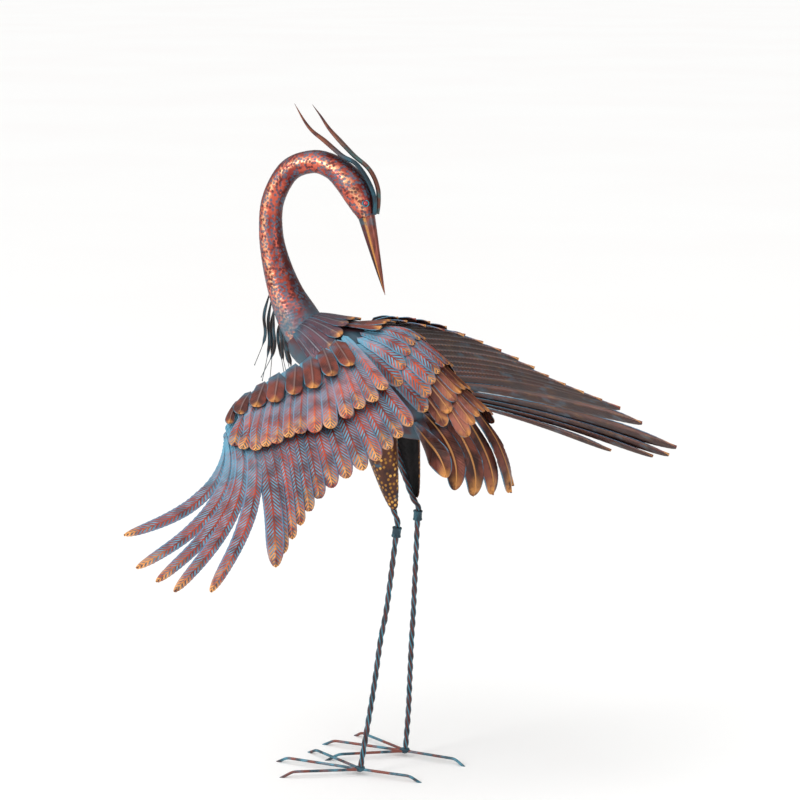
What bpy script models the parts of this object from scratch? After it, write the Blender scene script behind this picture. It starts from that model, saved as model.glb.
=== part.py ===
"""Heron garden statue in welded and painted sheet metal.

The bird faces -X with its tail towards +X, so its left side is -Y. It turns its
head back over its body, half opens both wings and stands on two twisted bars
with wire toes. Metres, +Z up, origin on the ground under the middle of the box.
The figure's pose is given in thousandths of its height.
"""
import math

import bmesh
import bpy
from mathutils import Vector

# Overall size
STATUE_HEIGHT = 1.000

# Stock that the statue is welded from
FEATHER_SHEET = 0.0012
THIGH_SHEET = 0.0015
PLUME_THICKNESS = 0.0014
PLUME_WIDTH = 0.0050
CREST_THICKNESS = 0.0044
CREST_WIDTH = 0.0090
LEG_BAR = 0.0064
LEG_TURN = 0.070
TOE_ROD = 0.0042
COLLAR_LENGTH = 0.015
COLLAR_WALL = 0.0017
COLLAR_RIM = 0.0007
# Share of the collar's length that each rim bead takes, and how far a bar runs straight out of it
COLLAR_BEAD = 0.16
COLLAR_BLEND = 1.6
COLLAR_RUN = 0.9
FEATHER_RIDGE = 0.0020
EYE_DIAMETER = 0.0070
# Width and thickness that a tapered strip keeps at its end
STRIP_END = 0.0006
WELD_GAP = 0.0003

# How finely the round forms are faceted
TORSO_SIDES = 16
TORSO_STEPS = 13
NECK_SIDES = 10
NECK_STEPS = 19
PLUME_STEPS = 5
CREST_STEPS = 12
EYE_SIDES = 6
COLLAR_SIDES = 10
BAR_TURN_STEP = math.radians(57)
FLIGHT_ROWS = 6
COVERT_ROWS = 4
BACK_ROW_STEPS = 5
TAIL_ROWS = 7

MIL = STATUE_HEIGHT / 1000
RIDGE_RUN = 50 * MIL
TOE_HEIGHT = 9 * MIL
# Room under the cut end of a leaning bar, as a share of its side
FOOT_CLEAR = 0.12
# A toe runs on below the ground by this share before it is cut off flat
TOE_OVERRUN = 0.5

# Torso sections: x, height of the centre, half height, half width
TORSO = (
    (-152, 650, 2, 2), (-141, 648, 28, 25), (-110, 641, 43, 44), (-70, 626, 51, 56),
    (-20, 606, 64, 62), (30, 588, 74, 60), (75, 570, 59, 48), (108, 554, 36, 33),
    (126, 548, 20, 19), (134, 545, 2, 2),
)
# Neck and head sections: x, z, radius
NECK = (
    (-110, 640, 34), (-135, 679, 31.5), (-155, 716, 26), (-171, 762, 21), (-179, 807, 18),
    (-175, 855, 17), (-149, 899, 17), (-110, 914, 17), (-78, 907, 18.5), (-54, 889, 21.5),
    (-38, 868, 21.5), (-29, 849, 17.5), (-25, 836, 12.5),
)
BEAK_BASE = (-24.2, 834.5)
BEAK_TIP = (4, 722)
BEAK_HALF_DEPTH = 12.5
BEAK_HALF_WIDTH = 10
LOWER_BEAK_SHARE = 0.965
EYE_PLACE = (-20, 857.5)

# Crest strips: x, y, z from the crown, where they lift off it, to the tip
CREST_FREE = {
    "left": ((-38, -8, 914), (-58, -9, 924), (-73, -9, 935), (-88, -10, 947), (-106, -11, 960),
             (-119, -11, 975), (-134, -11, 999)),
    "right": ((-8.5, 6, 852), (-8, 6, 862), (-9.5, 7, 877), (-16, 7, 894.5), (-27, 7, 909), (-44.5, 6, 922.5),
              (-59, 5, 936), (-75, 6, 951), (-88, 7, 964), (-101, 8, 981), (-114, 8, 997)),
}
# Shares of the neck's length where each strip still lies on the head, with its lift off the crown
CREST_SEAT = {"left": ((1.0, 0), (0.95, 1.5), (0.9, 2)), "right": ((1.0, 0),)}
CREST_SIDE = 5.5
# The strips swell past the crown and taper over the last part of their length
CREST_SWELL = 0.35
CREST_TAPER = 0.34

# Breast plumes: root height, y, then x and z where the strip hangs, where it narrows and at its tip
BREAST_PLUMES = (
    (716, -6, (-189, 682), (-188, 649), (-206, 605)), (709, -2, (-184, 674), (-183, 636), (-195, 581)),
    (699, 4, (-182, 666), (-181, 625), (-185, 582)), (694, -10, (-172, 664), (-171, 632), (-193, 588)),
    (681, 8, (-173, 651), (-168, 620), (-162, 586)), (677, -12, (-158, 650), (-156, 623), (-149, 593)),
    (667, 2, (-160, 642), (-155, 618), (-149, 588)), (663, -14, (-150, 640), (-143, 618), (-135, 591)),
    (664, 10, (-160, 632), (-155, 611), (-147, 584)),
)
# A plume keeps its width down to here and ends in a wire of this share of it
PLUME_NARROW = 0.62
PLUME_WIRE = 0.25

# Rows of feathers bent over the back: root x, tip x, half spread in degrees, feathers, lift
# per length, and how far round the back a root lies as a share of its tip's angle
BACK_ROWS = (
    ("mantle_feathers", -128, -56, 118, 11, 0.10, 0.60),
    ("shoulder_feathers", -60, 8, 27, 4, 0.20, 0.62),
    ("back_feathers", -26, 52, 82, 9, 0.14, 0.62),
    ("lower_back_feathers", 8, 90, 96, 10, 0.16, 0.62),
    ("rump_feathers", 46, 122, 96, 9, 0.14, 0.62),
    ("tail_coverts", 80, 152, 80, 7, 0.12, 0.62),
)
BACK_SEAT = 1.4
# Half of a back feather's pitch that its vane fills
BACK_FILL = 0.47
# Rows that start nearer the breast than this are cut to fit round the neck
NECK_REACH = -75
# The plumage keeps its girth past the end of the torso: x, centre z, half height, half width
PLUMAGE_END = ((75, 570, 59, 48), (112, 548, 42, 42), (150, 515, 38, 48), (190, 472, 36, 52))

# Tail feathers: root x, angle round the rump in degrees, x and z of the bend, tip x, y, z
TAIL = (
    (66, -116, (119, 515), (140.6, -110, 478)), (82, -96, (144, 506), (137.5, -64, 453)),
    (96, -66, (164, 491), (151, -28, 439)), (104, -36, (176, 497), (168, 14, 433)),
    (112, -2, (178, 512), (177, 54, 429)), (108, 44, (166, 513), (171, 92, 430)),
)
TAIL_UNDER = ((104, -60, (150, 494), (146, -7, 449)), (106, -20, (166, 500), (160, 33, 443)))
# The bend's share of the tip's distance from the middle, and which way the vanes turn there
TAIL_BEND_SIDE = 0.62
TAIL_FACING = Vector((0.9, 0, 0.3))
TAIL_HALF_WIDTH = 14
TAIL_ROOT_SHARE = 0.36
TAIL_SPREAD_RATE = 2.2
TAIL_CROWN = 1.3
TAIL_POINT = 1.4
UNDER_TAIL_DROP = 5.0
UNDER_TAIL_SHARE = 0.75
# Every second tail feather rides over its neighbours
TAIL_STAGGER = 0.0045

# Wings: arm from shoulder to hand, tips of the five primaries, and a line through the tips of the
# secondaries from the hand to the shoulder. Bend is the sideways bow of the first and last primary
# and of the first and last secondary.
WINGS = {
    "left": {
        "arm": ((-42, -33, 666), (-62, -94, 643), (-106, -151, 614), (-139, -212, 580),
                (-138, -244, 558), (-131, -264, 544)),
        "primaries": ((-201, -438, 439), (-165, -473, 404), (-131, -481, 390),
                      (-102, -485, 380), (-56, -468, 380)),
        "secondaries": ((11, -404, 407), (23, -309, 470), (43, -264, 496), (81, -215, 521),
                        (105, -149, 561)),
        "normal": (0.21, -0.56, 0.80),
        "bend": (0.46, 0.27, 0.08, -0.03),
    },
    "right": {
        "arm": ((-42, 33, 666), (-56, 82, 653), (-58, 142, 617), (-34, 214, 567),
                (-8, 254, 537), (20, 282, 513)),
        "primaries": ((249, 343, 442), (323, 325, 442), (355, 303, 451),
                      (377, 266, 472), (341, 200, 519)),
        "secondaries": ((317, 162, 547), (234, 117, 589), (193, 70, 625), (125, 29, 662),
                        (28, 27, 680)),
        "normal": (0.127, 0.536, 0.835),
        "bend": (-0.12, -0.08, 0.0, 0.0),
    },
}
PRIMARIES = 5
SECONDARIES = 13
# Shares of the arm: the hand and the innermost feather
PRIMARY_SHARE = 0.29
SHOULDER_START = 0.04
# Covert rows: place along the fan of flight feathers and share of their length at each tip, and
# where the vane starts on the arm as a share of that place
COVERT_TIPS = {
    "median_coverts": ((0.90, 0.15), (0.83, 0.23), (0.76, 0.31), (0.69, 0.385), (0.62, 0.44), (0.54, 0.485),
                       (0.47, 0.54), (0.40, 0.615), (0.33, 0.66), (0.255, 0.655), (0.19, 0.65),
                       (0.12, 0.69), (0.05, 0.68)),
    "lesser_coverts": ((0.88, 0.035), (0.786, 0.06), (0.673, 0.13), (0.564, 0.205), (0.447, 0.265),
                       (0.345, 0.315), (0.24, 0.30), (0.13, 0.33)),
}
COVERT_STARTS = {"median_coverts": 0.70, "lesser_coverts": 0.84}
COVERT_HALF_WIDTHS = {"median_coverts": 11, "lesser_coverts": 13}
WING_CAMBER = 0.045
# How much faster a covert lifts than the ridges under it rise
COVERT_LIFT = 2.5
COVERT_SEAT = 0.0021
PRIMARY_HALF_WIDTH = {"left": 11, "right": 30}
SECONDARY_HALF_WIDTH = 13
# Half of the room between two feathers that a vane fills
VANE_FILL = 0.49

# Thigh shells from the hip to the knee: x, z, half width
THIGH = ((2, 566, 35), (12, 520, 29), (20, 482, 22.5), (29, 440, 14), (34, 418, 8), (36, 411, 3))
THIGH_DEPTH_SHARE = 0.85
# Leg bars, for each side: from the belly to the collar and from the collar to the foot
LEGS = {
    "left": {
        "side": -1,
        "upper": ((-6, -36, 575), (2, -36, 520), (20, -36, 450), (33, -37.5, 410), (39.5, -40, 391)),
        "knee": (39, -40.5, 377),
        "lower": ((37.5, -41, 362), (25, -45, 261), (16, -47, 212), (8, -49.5, 150), (1, -51.5, 103),
                  (-14, -53, 16)),
        "foot": (-15, -53),
        "middle": (-139, -46, -155, -43), "inner": (-113, 5, -129, 15),
        "outer": (-104, -102, -119, -108), "hind": (66, -55, 80, -52),
    },
    "right": {
        "side": 1,
        "upper": ((-8, 36, 575), (0, 36, 520), (18, 36, 455), (32, 38, 415), (40, 41, 398)),
        "knee": (40, 41.5, 385),
        "lower": ((39, 42, 370), (32, 45, 239), (28, 47, 188), (24, 50, 124), (21, 52, 75),
                  (16, 53, 16)),
        "foot": (15, 53),
        "middle": (-106, 57, -123, 59), "inner": (-73, -1, -88, -9),
        "outer": (-81, 110, -95, 118), "hind": (100, 45, 114, 43),
    },
}

COLOURS = {
    "copper_neck": ((0.30, 0.13, 0.10), 0.42),
    "patina_feather": ((0.34, 0.15, 0.10), 0.48),
    "brown_tail": ((0.20, 0.10, 0.07), 0.42),
    "bronze_beak": ((0.22, 0.10, 0.05), 0.38),
    "dark_plume": ((0.04, 0.07, 0.08), 0.50),
    "patina_leg": ((0.10, 0.15, 0.17), 0.50),
    "mottled_thigh": ((0.13, 0.06, 0.03), 0.45),
    "red_eye": ((0.30, 0.02, 0.03), 0.25),
}


def at(x, y, z):
    """A point of the figure, from thousandths of its height to metres."""
    return Vector((x, y, z)) * MIL


def clear_scene():
    for item in list(bpy.data.objects):
        bpy.data.objects.remove(item, do_unlink=True)


def metal(name):
    material = bpy.data.materials.get(name)
    if material is None:
        colour, roughness = COLOURS[name]
        material = bpy.data.materials.new(name)
        material.use_nodes = True
        shader = material.node_tree.nodes["Principled BSDF"]
        shader.inputs["Base Color"].default_value = (*colour, 1)
        shader.inputs["Metallic"].default_value = 0.8
        shader.inputs["Roughness"].default_value = roughness
    return material


def catmull(points, steps):
    """Points of a smooth curve through tuples of any length, evenly by length."""
    rows = [tuple(float(v) for v in p) for p in points]
    rows = [tuple(2 * a - b for a, b in zip(rows[0], rows[1]))] + rows
    rows = rows + [tuple(2 * a - b for a, b in zip(rows[-1], rows[-2]))]
    fine = []
    parts = 16
    for i in range(1, len(rows) - 2):
        p0, p1, p2, p3 = rows[i - 1:i + 3]
        for k in range(parts):
            t = k / parts
            fine.append(tuple(
                0.5 * (2 * b + (c - a) * t + (2 * a - 5 * b + 4 * c - d) * t * t
                       + (3 * b - a - 3 * c + d) * t ** 3)
                for a, b, c, d in zip(p0, p1, p2, p3)))
    fine.append(rows[-2])
    run = [0.0]
    for a, b in zip(fine, fine[1:]):
        run.append(run[-1] + math.dist(a, b))
    out = []
    k = 0
    for s in range(steps + 1):
        goal = run[-1] * s / steps
        while k < len(fine) - 2 and run[k + 1] < goal:
            k += 1
        share = (goal - run[k]) / max(run[k + 1] - run[k], 1e-12)
        out.append(tuple(a + (b - a) * share for a, b in zip(fine[k], fine[k + 1])))
    return out


def along(points, place):
    """One point at a place in 0..1 of the list, straight between its points."""
    place = min(max(place, 0.0), 1.0) * (len(points) - 1)
    k = min(int(place), len(points) - 2)
    share = place - k
    return tuple(a + (b - a) * share for a, b in zip(points[k], points[k + 1]))


def new_piece(name, mesh, material, collection, frame=None):
    piece = bpy.data.objects.new(name, mesh)
    collection.objects.link(piece)
    if material:
        mesh.materials.clear()
        mesh.materials.append(metal(material))
    if frame:
        piece.parent = frame
    return piece


def loft(name, rings, close_ends=True):
    """A mesh through rings of equally many points, in order round the outside."""
    sheet = bmesh.new()
    rows = [[sheet.verts.new(p) for p in ring] for ring in rings]
    count = len(rows[0])
    for low, high in zip(rows, rows[1:]):
        for k in range(count):
            n = (k + 1) % count
            sheet.faces.new((low[k], low[n], high[n], high[k]))
    if close_ends:
        sheet.faces.new(list(reversed(rows[0])))
        sheet.faces.new(rows[-1])
    bmesh.ops.recalc_face_normals(sheet, faces=sheet.faces)
    mesh = bpy.data.meshes.new(name)
    sheet.to_mesh(mesh)
    sheet.free()
    mesh.shade_smooth()
    mesh.set_sharp_from_angle(angle=math.radians(50))
    return mesh


def frames_along(points, upright):
    """Tangent, side and normal at each point of a path, with the normal kept near upright."""
    out = []
    for k, point in enumerate(points):
        before = points[max(k - 1, 0)]
        after = points[min(k + 1, len(points) - 1)]
        tangent = (after - before).normalized()
        side = upright.cross(tangent).normalized()
        out.append((point, tangent, side, tangent.cross(side).normalized()))
    return out


def torso_section(x, table):
    """Centre height, half height and half width of the body at x, all in mils."""
    for low, high in zip(table, table[1:]):
        if x <= high[0] or high is table[-1]:
            break
    share = (x - low[0]) / (high[0] - low[0])
    return tuple(a + (b - a) * share for a, b in zip(low[1:], high[1:]))


def body_point(x, angle, height, table):
    """A point at a height over the body, at an angle from straight up, positive to the right."""
    def raw(u, v):
        centre, half_height, half_width = torso_section(u, table)
        return Vector((u, half_width * math.sin(v), centre + half_height * math.cos(v)))
    here = raw(x, angle)
    along_x = raw(x + 1.5, angle) - raw(x - 1.5, angle)
    round_it = raw(x, angle + 0.02) - raw(x, angle - 0.02)
    outward = round_it.cross(along_x).normalized()
    if outward.dot(Vector((0, math.sin(angle), math.cos(angle)))) < 0:
        outward.negate()
    return (here + outward * height) * MIL, outward


def torso_mesh(name, grow):
    """The egg of the body, grown by a distance in metres."""
    rings = []
    for x, centre, half_height, half_width in catmull(TORSO, TORSO_STEPS):
        ring = []
        for k in range(TORSO_SIDES):
            a = 2 * math.pi * k / TORSO_SIDES
            y = (half_width + grow / MIL) * math.cos(a)
            z = centre + (half_height + grow / MIL) * math.sin(a)
            ring.append(at(x, y, z))
        rings.append(ring)
    if grow:
        ends = ((rings[0], -1), (rings[-1], 1))
        for ring, way in ends:
            for point in ring:
                point.x += way * grow
    return loft(name, rings)


def neck_sections():
    return [(at(x, 0, z), r * MIL) for x, z, r in catmull(NECK, NECK_STEPS)]


def neck_frames(grow=0.0):
    """Point, tangent, direction of the crown or nape, and radius at each section of the neck."""
    sections = neck_sections()
    frames = frames_along([p for p, r in sections], Vector((0, 1, 0)))
    return [(p, t, -s, sections[k][1] + grow) for k, (p, t, s, n) in enumerate(frames)]


def neck_mesh(name, grow):
    rings = []
    for point, tangent, nape, radius in neck_frames(grow):
        ring = []
        for k in range(NECK_SIDES):
            a = 2 * math.pi * k / NECK_SIDES
            across = Vector((0, radius * math.sin(a), 0))
            ring.append(point + nape * radius * math.cos(a) + across)
        rings.append(ring)
    beak_end = neck_frames()[-1][1]
    rings[-1] = [corner + beak_end * grow for corner in rings[-1]]
    return loft(name, rings)


def cut(piece, cutter, name="clearance"):
    tool = piece.modifiers.new(name, "BOOLEAN")
    tool.operation = "DIFFERENCE"
    tool.solver = "EXACT"
    tool.object = cutter


def wall(piece, thickness, offset):
    shell = piece.modifiers.new("sheet", "SOLIDIFY")
    shell.thickness = thickness
    shell.offset = offset
    shell.use_rim = True


def strip_rings(points, upright, widths, thicknesses):
    """Four-sided rings of a strip: two edges and a raised middle on both faces."""
    rings = []
    for (point, tangent, side, normal), width, thick in zip(
            frames_along(points, upright), widths, thicknesses):
        rings.append([point + side * width / 2, point + normal * thick / 2,
                      point - side * width / 2, point - normal * thick / 2])
    return rings


def comb_sheet(name, feathers, joined, upright):
    """One plate cut into feathers: neighbours share an edge up to a row of their own.

    A feather is a list of rows (left edge, midrib, right edge) that ends in a tip.
    """
    sheet = bmesh.new()
    last = len(feathers[0]) - 1
    mids = [[sheet.verts.new(row[1]) for row in feather] for feather in feathers]
    lefts = [[None] * last for feather in feathers]
    rights = [[None] * last for feather in feathers]
    for i, feather in enumerate(feathers):
        for j in range(last):
            if i > 0 and j <= joined[i - 1]:
                lefts[i][j] = rights[i - 1][j]
            else:
                lefts[i][j] = sheet.verts.new(feather[j][0])
            place = feather[j][2]
            if i < len(feathers) - 1 and j <= joined[i]:
                place = (feather[j][2] + feathers[i + 1][j][0]) / 2
            rights[i][j] = sheet.verts.new(place)
    for i in range(len(feathers)):
        for j in range(last - 1):
            sheet.faces.new((lefts[i][j], mids[i][j], mids[i][j + 1], lefts[i][j + 1]))
            sheet.faces.new((mids[i][j], rights[i][j], rights[i][j + 1], mids[i][j + 1]))
        sheet.faces.new((lefts[i][last - 1], mids[i][last - 1], mids[i][last]))
        sheet.faces.new((mids[i][last - 1], rights[i][last - 1], mids[i][last]))
    sheet.normal_update()
    facing = sum((face.normal * face.calc_area() for face in sheet.faces), Vector())
    if facing.dot(upright) < 0:
        bmesh.ops.reverse_faces(sheet, faces=sheet.faces)
    mesh = bpy.data.meshes.new(name)
    sheet.to_mesh(mesh)
    sheet.free()
    return mesh


def row_places(length, half_width, rows):
    """Where the rows of a feather lie, and how wide it is there, from root to rounded tip."""
    shoulder = 1 - 1.15 * half_width / length
    cheek = 1 - 0.42 * half_width / length
    places = [shoulder * k / (rows - 3) for k in range(rows - 2)] + [cheek, 1.0]
    widths = [1.0] * (rows - 2) + [0.72, 0.0]
    return places, widths


def ridge_at(distance):
    return FEATHER_RIDGE * min(1.0, distance / RIDGE_RUN)


def build_back(collection, frame, neck_cutter):
    table = [row for row in catmull(TORSO, 48) if row[0] < PLUMAGE_END[0][0]]
    table = table + catmull(PLUMAGE_END, 12)
    for name, root_x, tip_x, spread, feather_count, lift, root_fan in BACK_ROWS:
        count = round(feather_count)
        length = tip_x - root_x
        pitch = math.radians(2 * spread / count)
        feathers = []
        for i in range(count):
            middle = math.radians(-spread) + pitch * (i + 0.5)
            half_width = torso_section((root_x + tip_x) / 2, table)[2] * pitch / 2
            places, widths = row_places(length, half_width, BACK_ROW_STEPS)
            rows = []
            for place, width in zip(places, widths):
                x = root_x + length * place
                fan = root_fan + (1 - root_fan) * place
                half = width * BACK_FILL * pitch * fan
                seat = BACK_SEAT + FEATHER_SHEET / MIL + lift * length * place
                ridge = ridge_at(length * place * MIL) / MIL
                mid, up = body_point(x, middle * fan, seat + ridge, table)
                left, up = body_point(x, middle * fan - half, seat, table)
                right, up = body_point(x, middle * fan + half, seat, table)
                rows.append((left, mid, right))
            feathers.append(rows)
        mesh = comb_sheet(name, feathers, [1] * (count - 1), Vector((0, 0, 1)))
        piece = new_piece(name, mesh, "patina_feather", collection, frame)
        wall(piece, FEATHER_SHEET, -1)
        if root_x < NECK_REACH:
            cut(piece, neck_cutter)


def build_tail(collection, frame, torso_cutter):
    table = catmull(TORSO, 48)
    sets = [("tail_feather", TAIL, 0.0), ("under_tail_feather", TAIL_UNDER, UNDER_TAIL_DROP)]
    for prefix, blades, drop in sets:
        for number, (root_x, angle, bend, tip) in enumerate(blades, 1):
            name = f"{prefix}_{number}"
            seat = (FEATHER_SHEET + WELD_GAP) / MIL + 0.5
            root, outward = body_point(root_x, math.radians(angle), seat - drop, table)
            knee = at(bend[0], tip[1] * TAIL_BEND_SIDE, bend[1])
            tip = at(*tip)
            length = (knee - root).length + (tip - knee).length
            half_width = TAIL_HALF_WIDTH * MIL * (UNDER_TAIL_SHARE if drop else 1.0)
            places, widths = row_places(length, half_width * TAIL_POINT, TAIL_ROWS)
            rows = []
            for place, width in zip(places, widths):
                centre = root.lerp(knee, place).lerp(knee.lerp(tip, place), place)
                tangent = ((knee - root).lerp(tip - knee, place)).normalized()
                away = (outward + TAIL_FACING * place).normalized()
                side = away.cross(tangent).normalized()
                up = tangent.cross(side).normalized()
                if up.dot(away) < 0:
                    up.negate()
                spread = min(1.0, place * TAIL_SPREAD_RATE)
                reach = half_width * width * (TAIL_ROOT_SHARE + (1 - TAIL_ROOT_SHARE) * spread)
                if not drop:
                    centre = centre + up * (number % 2) * TAIL_STAGGER * min(1.0, place * 2)
                mid = centre + up * ridge_at(length * place) * TAIL_CROWN
                rows.append((centre - side * reach, mid, centre + side * reach))
            mesh = comb_sheet(name, [rows], [], outward + Vector((0.6, 0, 0.3)))
            piece = new_piece(name, mesh, "brown_tail", collection, frame)
            wall(piece, FEATHER_SHEET, -1)
            cut(piece, torso_cutter)


def flight_place(index):
    """Where along the arm a flight feather starts, from 1 at the hand to 0 at the shoulder."""
    if index < PRIMARIES:
        return 1 - PRIMARY_SHARE * index / PRIMARIES
    share = (index - PRIMARIES) / (SECONDARIES - 1)
    return (1 - PRIMARY_SHARE) * (1 - share) + SHOULDER_START * share


def flight_index(place):
    """The feather number, not always whole, that starts at a place along the arm."""
    if place >= 1 - PRIMARY_SHARE:
        return (1 - place) * PRIMARIES / PRIMARY_SHARE
    share = (1 - PRIMARY_SHARE - place) / (1 - PRIMARY_SHARE - SHOULDER_START)
    return PRIMARIES + share * (SECONDARIES - 1)


def wing_surface(wing):
    """A function from a place along the arm and a share of the feather's length to a point."""
    arm = catmull(wing["arm"], 60)
    tips = list(wing["primaries"]) + catmull(wing["secondaries"], SECONDARIES - 1)
    normal = Vector(wing["normal"]).normalized()
    out_bend, mid_bend, inner_bend, last_bend = wing["bend"]
    facing = 1 if wing["arm"][-1][1] < 0 else -1

    def point(place, share):
        index = flight_index(place)
        root = at(*along(arm, place))
        tip = at(*along(tips, index / (len(tips) - 1)))
        chord = tip - root
        length = chord.length
        across = normal.cross(chord).normalized() * facing
        if index < PRIMARIES:
            bend = out_bend + (mid_bend - out_bend) * index / (PRIMARIES - 1)
        else:
            t = (index - PRIMARIES) / (SECONDARIES - 1)
            bend = inner_bend + (last_bend - inner_bend) * t
        control = root + chord / 2 + across * bend * length
        here = root.lerp(control, share).lerp(control.lerp(tip, share), share)
        camber = WING_CAMBER * length * 4 * share * (1 - share)
        return here + normal * camber, length
    return point, normal


def wing_row(name, wing, runs, half_widths, layer, joined, rows, collection, frame):
    """One plate of a wing: feathers that start along the arm and follow the wing's surface.

    A run is a feather's start along the arm, the place in the fan of its tip and its reach.
    """
    surface, normal = wing_surface(wing)
    spacing = FEATHER_SHEET + COVERT_SEAT
    slope = COVERT_LIFT * FEATHER_RIDGE / RIDGE_RUN
    paths = []
    shapes = []
    for i, (start, end, reach) in enumerate(runs):
        real = (surface(end, reach)[0] - surface(start, 0)[0]).length
        places, widths = row_places(real, half_widths[i], rows)
        path = []
        for place in places:
            lift = layer * (spacing + slope * place * real)
            path.append(surface(start + (end - start) * place, place * reach)[0] + normal * lift)
        paths.append(path)
        shapes.append((widths, [ridge_at(place * real) for place in places]))
    feathers = []
    for i, path in enumerate(paths):
        widths, ridges = shapes[i]
        neighbours = [paths[k] for k in (i - 1, i + 1) if 0 <= k < len(paths)]
        strip = []
        for k, centre in enumerate(path):
            tangent = path[min(k + 1, rows - 1)] - path[max(k - 1, 0)]
            side = tangent.cross(normal).normalized()
            room = min(abs((other[k] - centre).dot(side)) for other in neighbours)
            half = min(half_widths[i], room * VANE_FILL) * widths[k]
            strip.append((centre - side * half, centre + normal * ridges[k], centre + side * half))
        feathers.append(strip)
    if (feathers[1][0][1] - feathers[0][0][1]).dot(feathers[0][0][2] - feathers[0][0][0]) < 0:
        feathers = [[(right, mid, left) for left, mid, right in strip] for strip in feathers]
    mesh = comb_sheet(name, feathers, joined, normal)
    piece = new_piece(name, mesh, "patina_feather", collection, frame)
    wall(piece, FEATHER_SHEET, -1)


def build_wing(side, collection, frame):
    wing = WINGS[side]
    flights = PRIMARIES + SECONDARIES
    tips = list(wing["primaries"]) + catmull(wing["secondaries"], SECONDARIES - 1)
    half_widths = [PRIMARY_HALF_WIDTH[side] * MIL] * PRIMARIES
    for i in range(PRIMARIES, flights):
        near = min(math.dist(tips[i], tips[k]) for k in (i - 1, i + 1) if PRIMARIES <= k < flights)
        half_widths.append(min(near / 2, SECONDARY_HALF_WIDTH) * MIL)
    runs = [(flight_place(i), flight_place(i), 1.0) for i in range(flights)]
    joined = [2] * PRIMARIES + [3] * (SECONDARIES - 1)
    wing_row(f"{side}_flight_feathers", wing, runs, half_widths, 0, joined, FLIGHT_ROWS, collection, frame)

    for layer, (word, tips) in enumerate(COVERT_TIPS.items(), 1):
        runs = [(place * COVERT_STARTS[word], place, reach) for place, reach in tips]
        half_widths = [COVERT_HALF_WIDTHS[word] * MIL] * len(tips)
        wing_row(f"{side}_{word}", wing, runs, half_widths, layer, [1] * (len(tips) - 1), COVERT_ROWS,
                 collection, frame)


def build_head(collection, frame, torso_cutter, cutters):
    neck = new_piece("neck_and_head", neck_mesh("neck_and_head", 0), "copper_neck", collection, frame)
    cut(neck, torso_cutter)
    neck_cutter = new_piece("neck_clearance", neck_mesh("neck_clearance", WELD_GAP), None, cutters, frame)
    neck_cutter.hide_render = True
    neck_cutter.display_type = "WIRE"

    base = at(BEAK_BASE[0], 0, BEAK_BASE[1])
    tip = at(BEAK_TIP[0], 0, BEAK_TIP[1])
    run = tip - base
    crown = Vector((-run.z, 0, run.x)).normalized()
    side = Vector((0, 1, 0))
    for name, way, share in (("upper_beak", 1, 1.0), ("lower_beak", -1, LOWER_BEAK_SHARE)):
        rings = []
        for t, size in ((-0.05, 1.04), (0.0, 1.0), (0.3, 0.74), (0.7, 0.36), (share, 0.06)):
            ring = []
            for k in range(6):
                a = math.pi * k / 5
                y = BEAK_HALF_WIDTH * MIL * size * math.cos(a)
                depth = BEAK_HALF_DEPTH * MIL * size * math.sin(a) + WELD_GAP / 2
                ring.append(base + run * t + side * y + crown * depth * way)
            rings.append(ring)
        piece = new_piece(name, loft(name, rings), "bronze_beak", collection, frame)
        cut(piece, neck_cutter)

    frames = neck_frames()
    eye_at = at(EYE_PLACE[0], 0, EYE_PLACE[1])
    nearest = min(frames, key=lambda f: (f[0] - eye_at).length)
    offset = (eye_at - nearest[0]).dot(nearest[2])
    out = math.sqrt(nearest[3] ** 2 - offset ** 2)
    for name, way in (("left_eye", -1), ("right_eye", 1)):
        bpy.ops.mesh.primitive_uv_sphere_add(segments=EYE_SIDES, ring_count=EYE_SIDES - 1,
                                             radius=EYE_DIAMETER / 2)
        eye = bpy.context.object
        eye.name = name
        eye.data.materials.append(metal("red_eye"))
        for holder in list(eye.users_collection):
            holder.objects.unlink(eye)
        collection.objects.link(eye)
        eye.parent = frame
        eye.location = eye_at + Vector((0, way * out, 0))
        cut(eye, neck_cutter)
    return neck_cutter


def build_crest(collection, frame, neck_cutter):
    frames = neck_frames()
    last = len(frames) - 1
    for side_name, way in (("left", -1), ("right", 1)):
        name = f"{side_name}_crest_plume"
        across = way * CREST_SIDE * MIL
        path = []
        for share, lift in CREST_SEAT[side_name]:
            point, tangent, crown, radius = frames[round(last * share)]
            seat = radius + CREST_THICKNESS / 2 + WELD_GAP + lift * MIL
            path.append(tuple(point + crown * seat + Vector((0, across, 0))))
        path += [tuple(at(*p)) for p in CREST_FREE[side_name]]
        whole = [Vector(p) for p in catmull(path, CREST_STEPS)]
        widths = []
        thicks = []
        for k in range(CREST_STEPS + 1):
            t = k / CREST_STEPS
            swell = 1 + CREST_SWELL * math.sin(math.pi * min(max((t - 0.45) / 0.5, 0), 1))
            taper = min(1.0, (1 - t) / CREST_TAPER) ** 0.7
            widths.append(max(CREST_WIDTH * swell * taper * min(1, 0.5 + 3 * t), STRIP_END))
            thicks.append(max(CREST_THICKNESS * taper, STRIP_END))
        mesh = loft(name, strip_rings(whole, Vector((0, 1, 0)), thicks, widths))
        piece = new_piece(name, mesh, "dark_plume", collection, frame)
        cut(piece, neck_cutter)


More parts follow.
